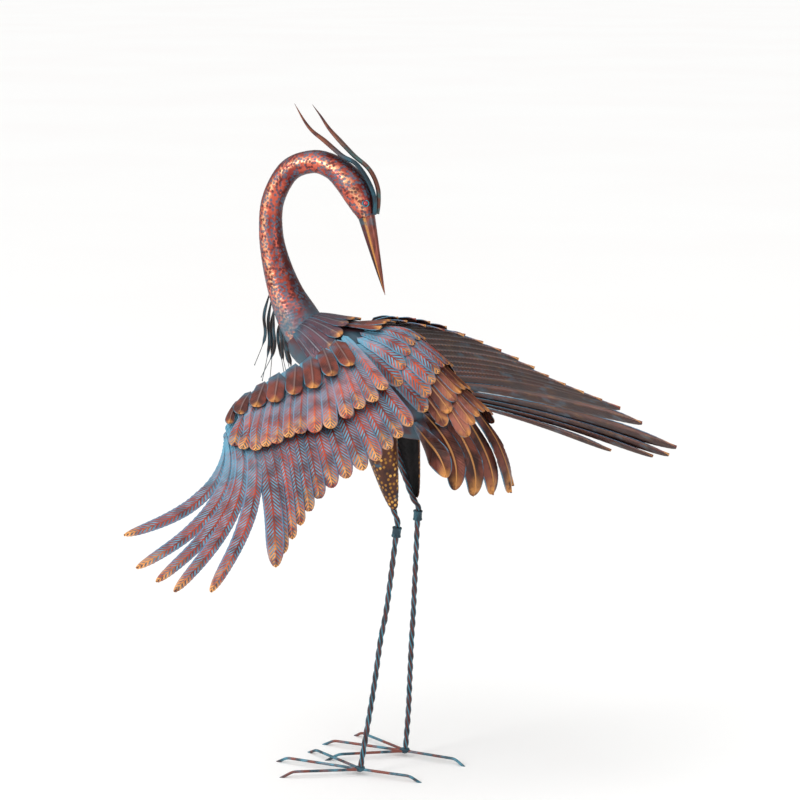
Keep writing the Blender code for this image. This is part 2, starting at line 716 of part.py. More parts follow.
def build_breast(collection, frame, neck_cutter):
    sections = neck_sections()
    for number, (root_z, y, *hang) in enumerate(BREAST_PLUMES, 1):
        name = f"breast_plume_{number}"
        centre, radius = min(sections, key=lambda s: abs(s[0].z - root_z * MIL))
        reach = math.sqrt(radius ** 2 - (y * MIL) ** 2)
        root = (centre.x - reach + PLUME_WIDTH * 0.3, y * MIL, root_z * MIL)
        path = [Vector(p) for p in catmull([root] + [tuple(at(x, y, z)) for x, z in hang], PLUME_STEPS)]
        widths = []
        thicks = []
        for k in range(PLUME_STEPS + 1):
            taper = 1.0 if k / PLUME_STEPS < PLUME_NARROW else PLUME_WIRE
            widths.append(PLUME_WIDTH * taper)
            thicks.append(max(PLUME_THICKNESS * taper, STRIP_END))
        mesh = loft(name, strip_rings(path, Vector((0, 1, 0)), widths, thicks))
        piece = new_piece(name, mesh, "dark_plume", collection, frame)
        cut(piece, neck_cutter)


def build_thigh(side_name, collection, frame, torso_cutter):
    way = LEGS[side_name]["side"]
    open_plane = 36 * MIL + LEG_BAR * math.sqrt(0.5) + WELD_GAP + THIGH_SHEET
    sheet = bmesh.new()
    rows = []
    for x, z, half in catmull(THIGH, 7):
        row = []
        for k in range(7):
            a = math.pi * k / 6
            y = open_plane + half * MIL * THIGH_DEPTH_SHARE * math.sin(a)
            row.append(sheet.verts.new((x * MIL + half * MIL * math.cos(a), way * y, z * MIL)))
        rows.append(row)
    for low, high in zip(rows, rows[1:]):
        for k in range(6):
            sheet.faces.new((low[k], low[k + 1], high[k + 1], high[k]))
    sheet.normal_update()
    facing = sum((face.normal * face.calc_area() for face in sheet.faces), Vector())
    if facing.y * way < 0:
        bmesh.ops.reverse_faces(sheet, faces=sheet.faces)
    name = f"{side_name}_thigh"
    mesh = bpy.data.meshes.new(name)
    sheet.to_mesh(mesh)
    sheet.free()
    piece = new_piece(name, mesh, "mottled_thigh", collection, frame)
    wall(piece, THIGH_SHEET, -1)
    cut(piece, torso_cutter)


def twisted_bar(name, points, collection, frame):
    """A square bar twisted along a path, as rings that turn as they go."""
    total = sum((b - a).length for a, b in zip(points, points[1:]))
    steps = max(2, round(total / LEG_TURN * 2 * math.pi / BAR_TURN_STEP))
    path = [Vector(p) for p in catmull([tuple(p) for p in points], steps)]
    rings = []
    half_diagonal = LEG_BAR * math.sqrt(0.5)
    for k, (point, tangent, side, normal) in enumerate(frames_along(path, Vector((0, 1, 0)))):
        ring = []
        for corner in range(4):
            a = 2 * math.pi * (total / LEG_TURN * k / steps + corner / 4)
            ring.append(point + (side * math.cos(a) + normal * math.sin(a)) * half_diagonal)
        rings.append(ring)
    mesh = loft(name, rings)
    return new_piece(name, mesh, "patina_leg", collection, frame)


def build_leg(side_name, collection, frame, torso_cutter):
    leg = LEGS[side_name]
    foot_top = TOE_HEIGHT + TOE_ROD / 2 + WELD_GAP
    lower_path = [at(*p) for p in leg["lower"][:-1]]
    foot = Vector((leg["foot"][0] * MIL, leg["foot"][1] * MIL, foot_top + LEG_BAR * FOOT_CLEAR))
    knee = at(*leg["knee"])
    axis = (knee - lower_path[1]).normalized()
    lower_top = knee - axis * WELD_GAP * 2
    lower = [lower_top, knee - axis * COLLAR_LENGTH * COLLAR_RUN] + lower_path[1:] + [foot]
    twisted_bar(f"{side_name}_lower_leg", lower, collection, frame)
    upper_path = [at(*p) for p in leg["upper"][:-1]]
    upper_path += [knee + axis * COLLAR_LENGTH * COLLAR_RUN, knee + axis * WELD_GAP * 2]
    upper = twisted_bar(f"{side_name}_upper_leg", upper_path, collection, frame)
    cut(upper, torso_cutter)

    inner = LEG_BAR * math.sqrt(0.5) + WELD_GAP
    outer = inner + COLLAR_WALL
    rim = outer + COLLAR_RIM
    half = COLLAR_LENGTH / 2
    edge = COLLAR_LENGTH * COLLAR_BEAD
    profile = ((inner, half), (rim, half), (rim, half - edge), (outer, half - edge * COLLAR_BLEND),
               (outer, edge * COLLAR_BLEND - half), (rim, edge - half), (rim, -half), (inner, -half))
    mesh = bpy.data.meshes.new(f"{side_name}_knee_collar")
    mesh.from_pydata([(r, 0, z) for r, z in profile],
                     [(k, (k + 1) % len(profile)) for k in range(len(profile))], [])
    collar = new_piece(f"{side_name}_knee_collar", mesh, "patina_leg", collection, frame)
    turn = collar.modifiers.new("turned", "SCREW")
    turn.steps = COLLAR_SIDES
    turn.render_steps = COLLAR_SIDES
    turn.use_merge_vertices = True
    turn.merge_threshold = 0.00001
    turn.use_normal_calculate = True
    turn.use_normal_flip = True
    collar.location = knee
    collar.rotation_euler = Vector((0, 0, 1)).rotation_difference(axis).to_euler()


def toe_mesh(name, points):
    """A rod through the points, cut flat on the ground at each end that reaches it."""
    curve = bpy.data.curves.new(name, "CURVE")
    curve.dimensions = "3D"
    curve.bevel_depth = TOE_ROD / 2
    curve.bevel_resolution = 2
    curve.use_fill_caps = True
    line = curve.splines.new("POLY")
    line.points.add(len(points) - 1)
    for spot, point in zip(line.points, points):
        spot.co = (*point, 1)
    holder = bpy.data.objects.new(name + "_line", curve)
    bpy.context.scene.collection.objects.link(holder)
    bpy.context.view_layer.update()
    graph = bpy.context.evaluated_depsgraph_get()
    mesh = bpy.data.meshes.new_from_object(holder.evaluated_get(graph))
    bpy.data.objects.remove(holder, do_unlink=True)
    solid = bmesh.new()
    solid.from_mesh(mesh)
    bmesh.ops.remove_doubles(solid, verts=solid.verts, dist=0.000001)
    parts = list(solid.verts) + list(solid.edges) + list(solid.faces)
    bmesh.ops.bisect_plane(solid, geom=parts, dist=0.0000001, plane_co=(0, 0, 0),
                           plane_no=(0, 0, 1), clear_inner=True)
    bmesh.ops.holes_fill(solid, edges=[edge for edge in solid.edges if edge.is_boundary], sides=0)
    bmesh.ops.recalc_face_normals(solid, faces=solid.faces)
    solid.to_mesh(mesh)
    solid.free()
    mesh.shade_smooth()
    mesh.set_sharp_from_angle(angle=math.radians(40))
    return mesh


def build_foot(side_name, collection, frame):
    leg = LEGS[side_name]
    hub = Vector((leg["foot"][0] * MIL, leg["foot"][1] * MIL, TOE_HEIGHT))

    def toe_end(toe):
        straight_x, straight_y, tip_x, tip_y = leg[toe]
        straight = Vector((straight_x * MIL, straight_y * MIL, TOE_HEIGHT))
        tip = Vector((tip_x * MIL, tip_y * MIL, 0))
        past = tip + (tip - straight) * TOE_OVERRUN
        return straight, past

    middle, middle_tip = toe_end("middle")
    hind, hind_tip = toe_end("hind")
    mesh = toe_mesh(f"{side_name}_middle_toe", [middle_tip, middle, hub, hind, hind_tip])
    new_piece(f"{side_name}_middle_toe", mesh, "patina_leg", collection, frame)
    heading = (middle - hub).normalized()
    across = Vector((-heading.y, heading.x, 0))
    for toe in ("inner", "outer"):
        straight, past = toe_end(toe)
        way = 1 if (straight - hub).dot(across) > 0 else -1
        root = hub + across * way * (TOE_ROD + WELD_GAP)
        mesh = toe_mesh(f"{side_name}_{toe}_toe", [root, straight, past])
        new_piece(f"{side_name}_{toe}_toe", mesh, "patina_leg", collection, frame)


def centre_on_ground(collection, frame):
    """Moves the whole statue so that its box is centred over the origin."""
    bpy.context.view_layer.update()
    graph = bpy.context.evaluated_depsgraph_get()
    low = Vector((math.inf, math.inf, math.inf))
    high = -low
    for piece in collection.objects:
        if piece.type != "MESH":
            continue
        shape = piece.evaluated_get(graph)
        for vertex in shape.data.vertices:
            place = shape.matrix_world @ vertex.co
            low = Vector(map(min, low, place))
            high = Vector(map(max, high, place))
    frame.location = (-(low.x + high.x) / 2, -(low.y + high.y) / 2, -low.z)
    bpy.context.view_layer.update()


def main():
    clear_scene()
    statue = bpy.data.collections.new("heron_garden_statue")
    cutters = bpy.data.collections.new("cutters")
    bpy.context.scene.collection.children.link(statue)
    bpy.context.scene.collection.children.link(cutters)
    frame = bpy.data.objects.new("statue_frame", None)
    statue.objects.link(frame)

    new_piece("torso", torso_mesh("torso", 0), "patina_feather", statue, frame)
    torso_cutter = new_piece("torso_clearance", torso_mesh("torso_clearance", WELD_GAP), None,
                             cutters, frame)
    torso_cutter.hide_render = True
    torso_cutter.display_type = "WIRE"

    neck_cutter = build_head(statue, frame, torso_cutter, cutters)
    build_crest(statue, frame, neck_cutter)
    build_breast(statue, frame, neck_cutter)
    build_back(statue, frame, neck_cutter)
    build_tail(statue, frame, torso_cutter)
    for side_name in ("left", "right"):
        build_wing(side_name, statue, frame)
        build_thigh(side_name, statue, frame, torso_cutter)
        build_leg(side_name, statue, frame, torso_cutter)
        build_foot(side_name, statue, frame)
    centre_on_ground(statue, frame)


main()
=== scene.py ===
"""Looks of a heron garden statue: sheet steel, chased, hammered and painted like old copper.

The bird faces -X and its near wing, the left one, reaches towards -Y. The pose is given
in thousandths of the statue's height, and stock and tool marks in metres.
"""
import math
import random

import bmesh
import bpy
import numpy as np
from mathutils import Euler, Matrix, Vector


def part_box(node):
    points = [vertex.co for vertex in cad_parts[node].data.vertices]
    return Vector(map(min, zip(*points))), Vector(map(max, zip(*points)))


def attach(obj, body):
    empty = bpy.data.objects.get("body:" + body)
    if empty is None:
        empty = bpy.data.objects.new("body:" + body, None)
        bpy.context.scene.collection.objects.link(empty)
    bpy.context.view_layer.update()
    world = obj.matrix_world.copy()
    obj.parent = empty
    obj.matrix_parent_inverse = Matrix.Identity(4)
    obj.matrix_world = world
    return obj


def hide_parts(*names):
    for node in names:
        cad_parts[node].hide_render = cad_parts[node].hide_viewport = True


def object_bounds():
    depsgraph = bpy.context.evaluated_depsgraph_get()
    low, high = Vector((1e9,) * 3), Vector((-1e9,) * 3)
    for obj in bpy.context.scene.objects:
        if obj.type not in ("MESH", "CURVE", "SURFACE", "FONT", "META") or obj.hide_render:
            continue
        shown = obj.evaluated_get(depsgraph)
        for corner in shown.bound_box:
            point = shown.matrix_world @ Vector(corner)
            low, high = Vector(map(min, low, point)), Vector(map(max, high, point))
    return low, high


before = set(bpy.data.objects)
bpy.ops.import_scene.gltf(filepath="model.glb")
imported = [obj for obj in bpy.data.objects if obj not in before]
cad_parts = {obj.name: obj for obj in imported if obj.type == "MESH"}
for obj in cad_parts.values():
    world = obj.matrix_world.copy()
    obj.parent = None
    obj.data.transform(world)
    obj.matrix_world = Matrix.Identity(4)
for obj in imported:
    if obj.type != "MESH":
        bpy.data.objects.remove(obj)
CAD_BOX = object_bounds()

# Overall size, from the frame
STATUE_HEIGHT = CAD_BOX[1][2] - CAD_BOX[0][2]
MIL = STATUE_HEIGHT / 999.65

# Stock
FEATHER_SHEET = 0.0012
FEATHER_RIDGE = 0.0020
RIDGE_RUN = 0.050
THIGH_SHEET = 0.0015
LEG_BAR = 0.0064
LEG_TURN = 0.070
TOE_ROD = 0.0042
EYE_DIAMETER = 0.0074

# Torso sections: x, height of the centre, half height, half width
TORSO = (
    (-152, 650, 2, 2), (-141, 648, 28, 25), (-110, 641, 43, 44), (-70, 626, 51, 56),
    (-20, 606, 64, 62), (30, 588, 74, 60), (75, 570, 59, 48), (108, 554, 36, 33),
    (126, 548, 20, 19), (134, 545, 2, 2),
)
# Neck and head sections: x, z, radius
NECK = (
    (-110, 640, 34), (-135, 679, 31.5), (-155, 716, 26), (-171, 762, 21), (-179, 807, 18),
    (-175, 855, 17), (-149, 899, 17), (-110, 914, 17), (-78, 907, 18.5), (-54, 889, 21.5),
    (-38, 868, 21.5), (-29, 849, 17.5), (-25, 836, 12.5),
)
NECK_COLUMNS = 88
BEAK_BASE = (-24.2, 834.5)
BEAK_TIP = (4, 722)
BEAK_HALF_DEPTH = 12.5
BEAK_HALF_WIDTH = 10
LOWER_BEAK_SHARE = 0.965
EYE_PLACE = (-20, 857.5)

# Crest strips: x, y, z from the crown, where they lift off it, to the tip
CREST_FREE = {
    "left": ((-38, -8, 914), (-58, -9, 924), (-73, -9, 935), (-88, -10, 947), (-106, -11, 960),
             (-119, -11, 975), (-134, -11, 999)),
    "right": ((-8.5, 6, 852), (-8, 6, 862), (-9.5, 7, 877), (-16, 7, 894.5), (-27, 7, 909), (-44.5, 6, 922.5),
              (-59, 5, 936), (-75, 6, 951), (-88, 7, 964), (-101, 8, 981), (-114, 8, 997)),
}
# Shares of the neck's length where each strip still lies on the head, with its lift off the crown
CREST_SEAT = {"left": ((1.0, 0), (0.95, 1.5), (0.9, 2)), "right": ((1.0, 0),)}
CREST_SIDE = 5.5
CREST_HALF_WIDTH = 0.0048
CREST_HALF_THICKNESS = 0.0031

# Breast plumes: root height, y, then x and z where the strip hangs, where it narrows and at its tip
BREAST_PLUMES = (
    (716, -6, (-189, 682), (-188, 649), (-205.6, 605)), (709, -2, (-184, 674), (-183, 636), (-195, 581)),
    (699, 4, (-182, 666), (-181, 625), (-185, 582)), (694, -10, (-172, 664), (-171, 632), (-193, 588)),
    (681, 8, (-173, 651), (-168, 620), (-162, 586)), (677, -12, (-158, 650), (-156, 623), (-149, 593)),
    (667, 2, (-160, 642), (-155, 618), (-149, 588)), (663, -14, (-150, 640), (-143, 618), (-135, 591)),
    (664, 10, (-160, 632), (-155, 611), (-147, 584)),
)
PLUME_HALF_WIDTH = 0.0026
# Share of a plume that is a leaf of even width, and how wide the wire after it is beside the leaf
PLUME_LEAF = 0.62
PLUME_WIRE = 0.20
PLUME_SHEET = 0.0009

# Rows of feathers bent over the back: root x, tip x, half spread in degrees, feathers, lift
# per length, and how far round the back a root lies as a share of its tip's angle
BACK_ROWS = (
    ("mantle_feathers", -128, -46, 118, 11, 0.10, 0.60),
    ("shoulder_feathers", -60, 8, 27, 4, 0.20, 0.62),
    ("back_feathers", -26, 52, 82, 9, 0.14, 0.62),
    ("lower_back_feathers", 8, 90, 96, 10, 0.16, 0.62),
    ("rump_feathers", 46, 122, 96, 9, 0.14, 0.62),
    ("tail_coverts", 80, 152, 80, 7, 0.12, 0.62),
)
BACK_SEAT = 1.4
PLUMAGE_END = ((75, 570, 59, 48), (112, 548, 42, 42), (150, 515, 38, 48), (190, 472, 36, 52))

# Tail feathers: root x, angle round the rump in degrees, x and z of the bend, tip x, y, z
TAIL = (
    (66, -116, (119, 515), (140.6, -110, 478)), (82, -96, (144, 506), (137.5, -64, 453)),
    (96, -66, (164, 491), (151, -28, 439)), (104, -36, (176, 497), (168, 14, 433)),
    (112, -2, (178, 512), (177, 54, 429)), (108, 44, (166, 513), (171, 92, 430)),
)
TAIL_UNDER = ((104, -60, (150, 494), (146, -7, 449)), (106, -20, (166, 500), (160, 33, 443)))
TAIL_HALF_WIDTH = 18
# How far out a blade bends, as a share of its tip's, and what every second blade is raised by
TAIL_BEND = 0.62
TAIL_STAGGER = 0.0045
TAIL_FACING = Vector((0.9, -0.45, 0.3))

# Wings: arm from shoulder to hand, tips of the primaries, line through the secondaries' tips
WINGS = {
    "left": {
        "arm": ((-42, -33, 666), (-62, -94, 643), (-106, -151, 614), (-139, -212, 580),
                (-138, -244, 558), (-131, -264, 544)),
        "primaries": ((-201, -438, 439), (-165, -473, 404), (-131, -481, 390),
                      (-102, -485, 380), (-56, -468, 380)),
        "secondaries": ((11, -404, 407), (23, -309, 470), (43, -264, 496), (81, -215, 521),
                        (105, -149, 561)),
        "normal": (0.21, -0.56, 0.80),
        "bend": (0.46, 0.27, 0.08, -0.03),
    },
    "right": {
        "arm": ((-42, 33, 666), (-56, 82, 653), (-58, 142, 617), (-34, 214, 567),
                (-8, 254, 537), (20, 282, 513)),
        "primaries": ((249, 343, 442), (323, 325, 442), (355, 303, 451),
                      (377, 266, 472), (341, 200, 519)),
        "secondaries": ((317, 162, 547), (234, 117, 589), (193, 70, 625), (125, 29, 662),
                        (28, 27, 680)),
        "normal": (0.127, 0.536, 0.835),
        "bend": (-0.12, -0.08, 0.0, 0.0),
    },
}
PRIMARIES = 5
SECONDARIES = 13
PRIMARY_SHARE = 0.29
SHOULDER_START = 0.04
# Covert rows: place along the fan of flight feathers and share of their length at each tip, and
# where the vane starts on the arm as a share of that place
COVERT_TIPS = {
    "median_coverts": ((0.90, 0.15), (0.83, 0.23), (0.76, 0.31), (0.69, 0.385), (0.62, 0.44), (0.54, 0.485),
                       (0.47, 0.54), (0.40, 0.615), (0.33, 0.66), (0.255, 0.655), (0.19, 0.65),
                       (0.12, 0.69), (0.05, 0.68)),
    "lesser_coverts": ((0.88, 0.035), (0.786, 0.06), (0.673, 0.13), (0.564, 0.205), (0.447, 0.265),
                       (0.345, 0.315), (0.24, 0.30), (0.13, 0.33)),
}
COVERT_STARTS = {"median_coverts": 0.70, "lesser_coverts": 0.84}
COVERT_HALF_WIDTHS = {"median_coverts": 11, "lesser_coverts": 13}
WING_CAMBER = 0.045
COVERT_SLOPE = 0.060
COVERT_SEAT = 0.0040
PRIMARY_HALF_WIDTHS = {"left": (11.5,) * 5, "right": (24, 33, 38, 38, 36)}
# The vane is wider on one side of its shaft: the primaries, then the first secondary
PRIMARY_LEANS = {"left": (0.34,) * 5 + (0.0,), "right": (0.0, -0.34, -0.34, -0.34, 0.0, -0.5)}
PRIMARY_REACH = 0.997
FIRST_SECONDARY_HALF_WIDTH = {"left": 13, "right": 21}
PRIMARY_TIP_SHARE = {"left": 0.66, "right": 0.85}
SECONDARY_HALF_WIDTH = 13
# Length of the pointed end of a feather, in half widths
PRIMARY_TAPER = 4.5
SECONDARY_TAPER = {"left": (3.6, 2.6, 2.0), "right": (3.6, 3.4, 3.2)}
# Half of the room between two shafts that a vane fills, more than half so that vanes overlap
VANE_FILL = 0.60
VANE_TILT = 0.0013

THIGH = ((2, 566, 35), (12, 520, 29), (20, 482, 22.5), (29, 440, 14), (34, 418, 8), (36, 411, 3))
THIGH_DEPTH_SHARE = 0.85
LEGS = {
    "left": {
        "side": -1,
        "upper": ((-6, -36, 575), (2, -36, 520), (20, -36, 450), (33, -37.5, 410), (39.5, -40, 391)),
        "knee": (39, -40.5, 377),
        "lower": ((37.5, -41, 362), (25, -45, 261), (16, -47, 212), (8, -49.5, 150), (1, -51.5, 103),
                  (-14, -53, 14)),
        "foot": (-15, -53),
        "middle": (-139, -46, -155, -43), "inner": (-113, 5, -129, 15),
        "outer": (-104, -102, -119, -108), "hind": (66, -55, 80, -52),
    },
    "right": {
        "side": 1,
        "upper": ((-8, 36, 575), (0, 36, 520), (18, 36, 455), (32, 38, 415), (40, 41, 398)),
        "knee": (40, 41.5, 385),
        "lower": ((39, 42, 370), (32, 45, 239), (28, 47, 188), (24, 50, 124), (21, 52, 75),
                  (16, 53, 14)),
        "foot": (15, 53),
        "middle": (-106, 57, -123, 59), "inner": (-73, -1, -88, -9),
        "outer": (-81, 110, -95, 118), "hind": (100, 45, 114, 43),
    },
}
TOE_HEIGHT = 9
# Straight bar above and below the knee, and half the gap between the two bars, in metres
KNEE_STRAIGHT = 0.0135
KNEE_GAP = 0.0006
# Collar at the knee: room round the bar's corners, wall, bead's height and half length
COLLAR_GAP = 0.0002
COLLAR_WALL = 0.0017
COLLAR_BEAD = 0.0007
COLLAR_HALF_LENGTH = 0.0075
COLLAR_SIDES = 32
# Weld under the leg: half sizes of the bead
WELD_BEAD = Vector((0.0082, 0.0056, 0.0042))
# Gap between a piece and the one that carries it
WELD_GAP = 0.0003
# Bends of the toe rods are rounded over this length
TOE_BEND = 0.006

# Chasing and hammer marks, measured on the statue
BARB_PITCH = 0.0064
BARB_RAKE = 1.25
BARB_DEPTH = 0.0006
FINE_PITCH = 0.0026
TAIL_PITCH = 0.0045
DIMPLE_SPACING = 0.0042
DIMPLE_RADIUS = 0.0030
DIMPLE_DEPTH = 0.0005
TORSO_MARKS = {"spacing": 0.008, "mark_radius": 0.0045, "mark_depth": 0.0004, "seed": 11}
THIGH_MARKS = {"spacing": 0.0055, "mark_radius": 0.0033, "mark_depth": 0.0005}
# Grain of the sprayed paint, per metre: specks of about 1.1 mm. Real spray is finer, too fine to
# show at this distance, so it's drawn coarser; how much coarser is a guess.
PAINT_GRAIN = 900.0

# Camera, in the statue's own axes: where it stands, its turn and its lens
CAMERA_PLACE = (1.409, -3.418, 1.250)
CAMERA_TURN = (79.5, 0.0, 22.0)
CAMERA_LENS = 114.4
# Light: the white room, one wide soft light overhead, and two softboxes by name with their
# places, sizes in metres and watts. The spread is in degrees.
ROOM_LIGHT = 0.46
OVERHEAD_POWER = 2.3
OVERHEAD_SPREAD = 100
OVERHEAD_WAY = (0.30, 0.42, -1.0)
SOFTBOXES = (("left_softbox", (-1.6, -2.6, 1.7), 1.1, 34), ("right_softbox", (2.9, -1.6, 1.3), 1.2, 14))
FLOOR_REACH = 90.0


def find_shift():
    """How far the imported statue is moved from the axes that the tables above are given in."""
    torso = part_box("torso")
    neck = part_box("neck_and_head")
    return Vector((torso[0].x - TORSO[0][0] * MIL, (neck[0].y + neck[1].y) / 2, 0))


SHIFT = find_shift()


def at(x, y, z):
    """A point of the statue, from thousandths of its height to metres."""
    return Vector((x, y, z)) * MIL + SHIFT


def catmull(points, steps):
    """Points of a smooth curve through tuples of any length, evenly by length."""
    rows = [tuple(float(v) for v in p) for p in points]
    rows = [tuple(2 * a - b for a, b in zip(rows[0], rows[1]))] + rows
    rows = rows + [tuple(2 * a - b for a, b in zip(rows[-1], rows[-2]))]
    fine = []
    parts = 16
    for i in range(1, len(rows) - 2):
        p0, p1, p2, p3 = rows[i - 1:i + 3]
        for k in range(parts):
            t = k / parts
            fine.append(tuple(
                0.5 * (2 * b + (c - a) * t + (2 * a - 5 * b + 4 * c - d) * t * t
                       + (3 * b - a - 3 * c + d) * t ** 3)
                for a, b, c, d in zip(p0, p1, p2, p3)))
    fine.append(rows[-2])
    run = [0.0]
    for a, b in zip(fine, fine[1:]):
        run.append(run[-1] + math.dist(a, b))
    out = []
    k = 0
    for s in range(steps + 1):
        goal = run[-1] * s / steps
        while k < len(fine) - 2 and run[k + 1] < goal:
            k += 1
        share = (goal - run[k]) / max(run[k + 1] - run[k], 1e-12)
        out.append(tuple(a + (b - a) * share for a, b in zip(fine[k], fine[k + 1])))
    return out


def along(points, place):
    """One point at a place in 0..1 of the list, straight between its points."""
    place = min(max(place, 0.0), 1.0) * (len(points) - 1)
    k = min(int(place), len(points) - 2)
    share = place - k
    return tuple(a + (b - a) * share for a, b in zip(points[k], points[k + 1]))


# Node trees

def socket(ends, key):
    """The end in use that has a name, or the one at a number."""
    if isinstance(key, int):
        return ends[key]
    return next(end for end in ends if end.enabled and end.name == key)


MATHS = ("add", "subtract", "multiply", "divide", "absolute", "sign", "sqrt", "maximum", "minimum",
         "fract", "greater_than", "sine", "cosine")
RANGE_ENDS = ("Value", "From Min", "From Max", "To Min", "To Max")
# Words for the nodes used most: kind, the ends that values go to in order, the end given, settings
NODES = {word: ("ShaderNodeMath", (0, 1), 0, {"operation": word.upper()}) for word in MATHS}
NODES.update({
    "times": ("ShaderNodeMath", (0, 1), 0, {"operation": "MULTIPLY", "use_clamp": True}),
    "cross_product": ("ShaderNodeVectorMath", (0, 1), 0, {"operation": "CROSS_PRODUCT"}),
    "normalize": ("ShaderNodeVectorMath", (0,), 0, {"operation": "NORMALIZE"}),
    "moved": ("ShaderNodeVectorMath", (0, 1), 0, {"operation": "ADD"}),
    "scaled": ("ShaderNodeVectorMath", (0, "Scale"), 0, {"operation": "SCALE"}),
    "distance": ("ShaderNodeVectorMath", (0, 1), "Value", {"operation": "DISTANCE"}),
    "range": ("ShaderNodeMapRange", RANGE_ENDS, 0, {}),
    "ramp": ("ShaderNodeMapRange", RANGE_ENDS, 0, {"interpolation_type": "SMOOTHSTEP"}),
    "mixed": ("ShaderNodeMix", ("Factor", "A", "B"), "Result", {"data_type": "RGBA"}),
    "read": ("GeometryNodeInputNamedAttribute", ("Name",), 0, {}),
    "store": ("GeometryNodeStoreNamedAttribute", ("Geometry", "Name", "Value"), 0,
              {"data_type": "FLOAT", "domain": "POINT"}),
    "share": ("ShaderNodeAttribute", (), "Fac", {}),
    "object_place": ("ShaderNodeTexCoord", (), "Object", {}),
})


def add(tree, word, *values, give=None, **settings):
    """A node with its settings, each end set or linked, and the end that it gives.

    A word out of the table takes its values in order, any other kind a dict of its ends.
    """
    kind, ends, gives, fixed = NODES.get(word, (word, (), 0, {}))
    inputs = values[0] if values and isinstance(values[0], dict) else dict(zip(ends, values))
    made = tree.nodes.new(kind)
    for name, value in {**fixed, **settings}.items():
        setattr(made, name, value)
    for key, value in inputs.items():
        end = socket(made.inputs, key)
        if isinstance(value, bpy.types.NodeSocket):
            tree.links.new(value, end)
        else:
            end.default_value = value
    return socket(made.outputs, gives if give is None else give)


def new_tree(name, sizes):
    """A geometry tree with named sizes, a material input and its two ends."""
    tree = bpy.data.node_groups.new(name, "GeometryNodeTree")
    tree.interface.new_socket("Geometry", in_out="INPUT", socket_type="NodeSocketGeometry")
    for size, value in sizes.items():
        kind = "NodeSocketInt" if isinstance(value, int) else "NodeSocketFloat"
        tree.interface.new_socket(size, in_out="INPUT", socket_type=kind).default_value = value
    tree.interface.new_socket("Material", in_out="INPUT", socket_type="NodeSocketMaterial")
    tree.interface.new_socket("Geometry", in_out="OUTPUT", socket_type="NodeSocketGeometry")
    ends = tree.nodes.new("NodeGroupInput")
    return tree, {end.name: end for end in ends.outputs if end.name}


def close_tree(tree, geometry, material):
    """Every tree ends in real mesh with its material on it."""
    real = add(tree, "GeometryNodeRealizeInstances", {"Geometry": geometry})
    smooth = add(tree, "GeometryNodeSetShadeSmooth", {"Geometry": real})
    dressed = add(tree, "GeometryNodeSetMaterial", {"Geometry": smooth, "Material": material})
    out = tree.nodes.new("NodeGroupOutput")
    tree.links.new(dressed, out.inputs[0])


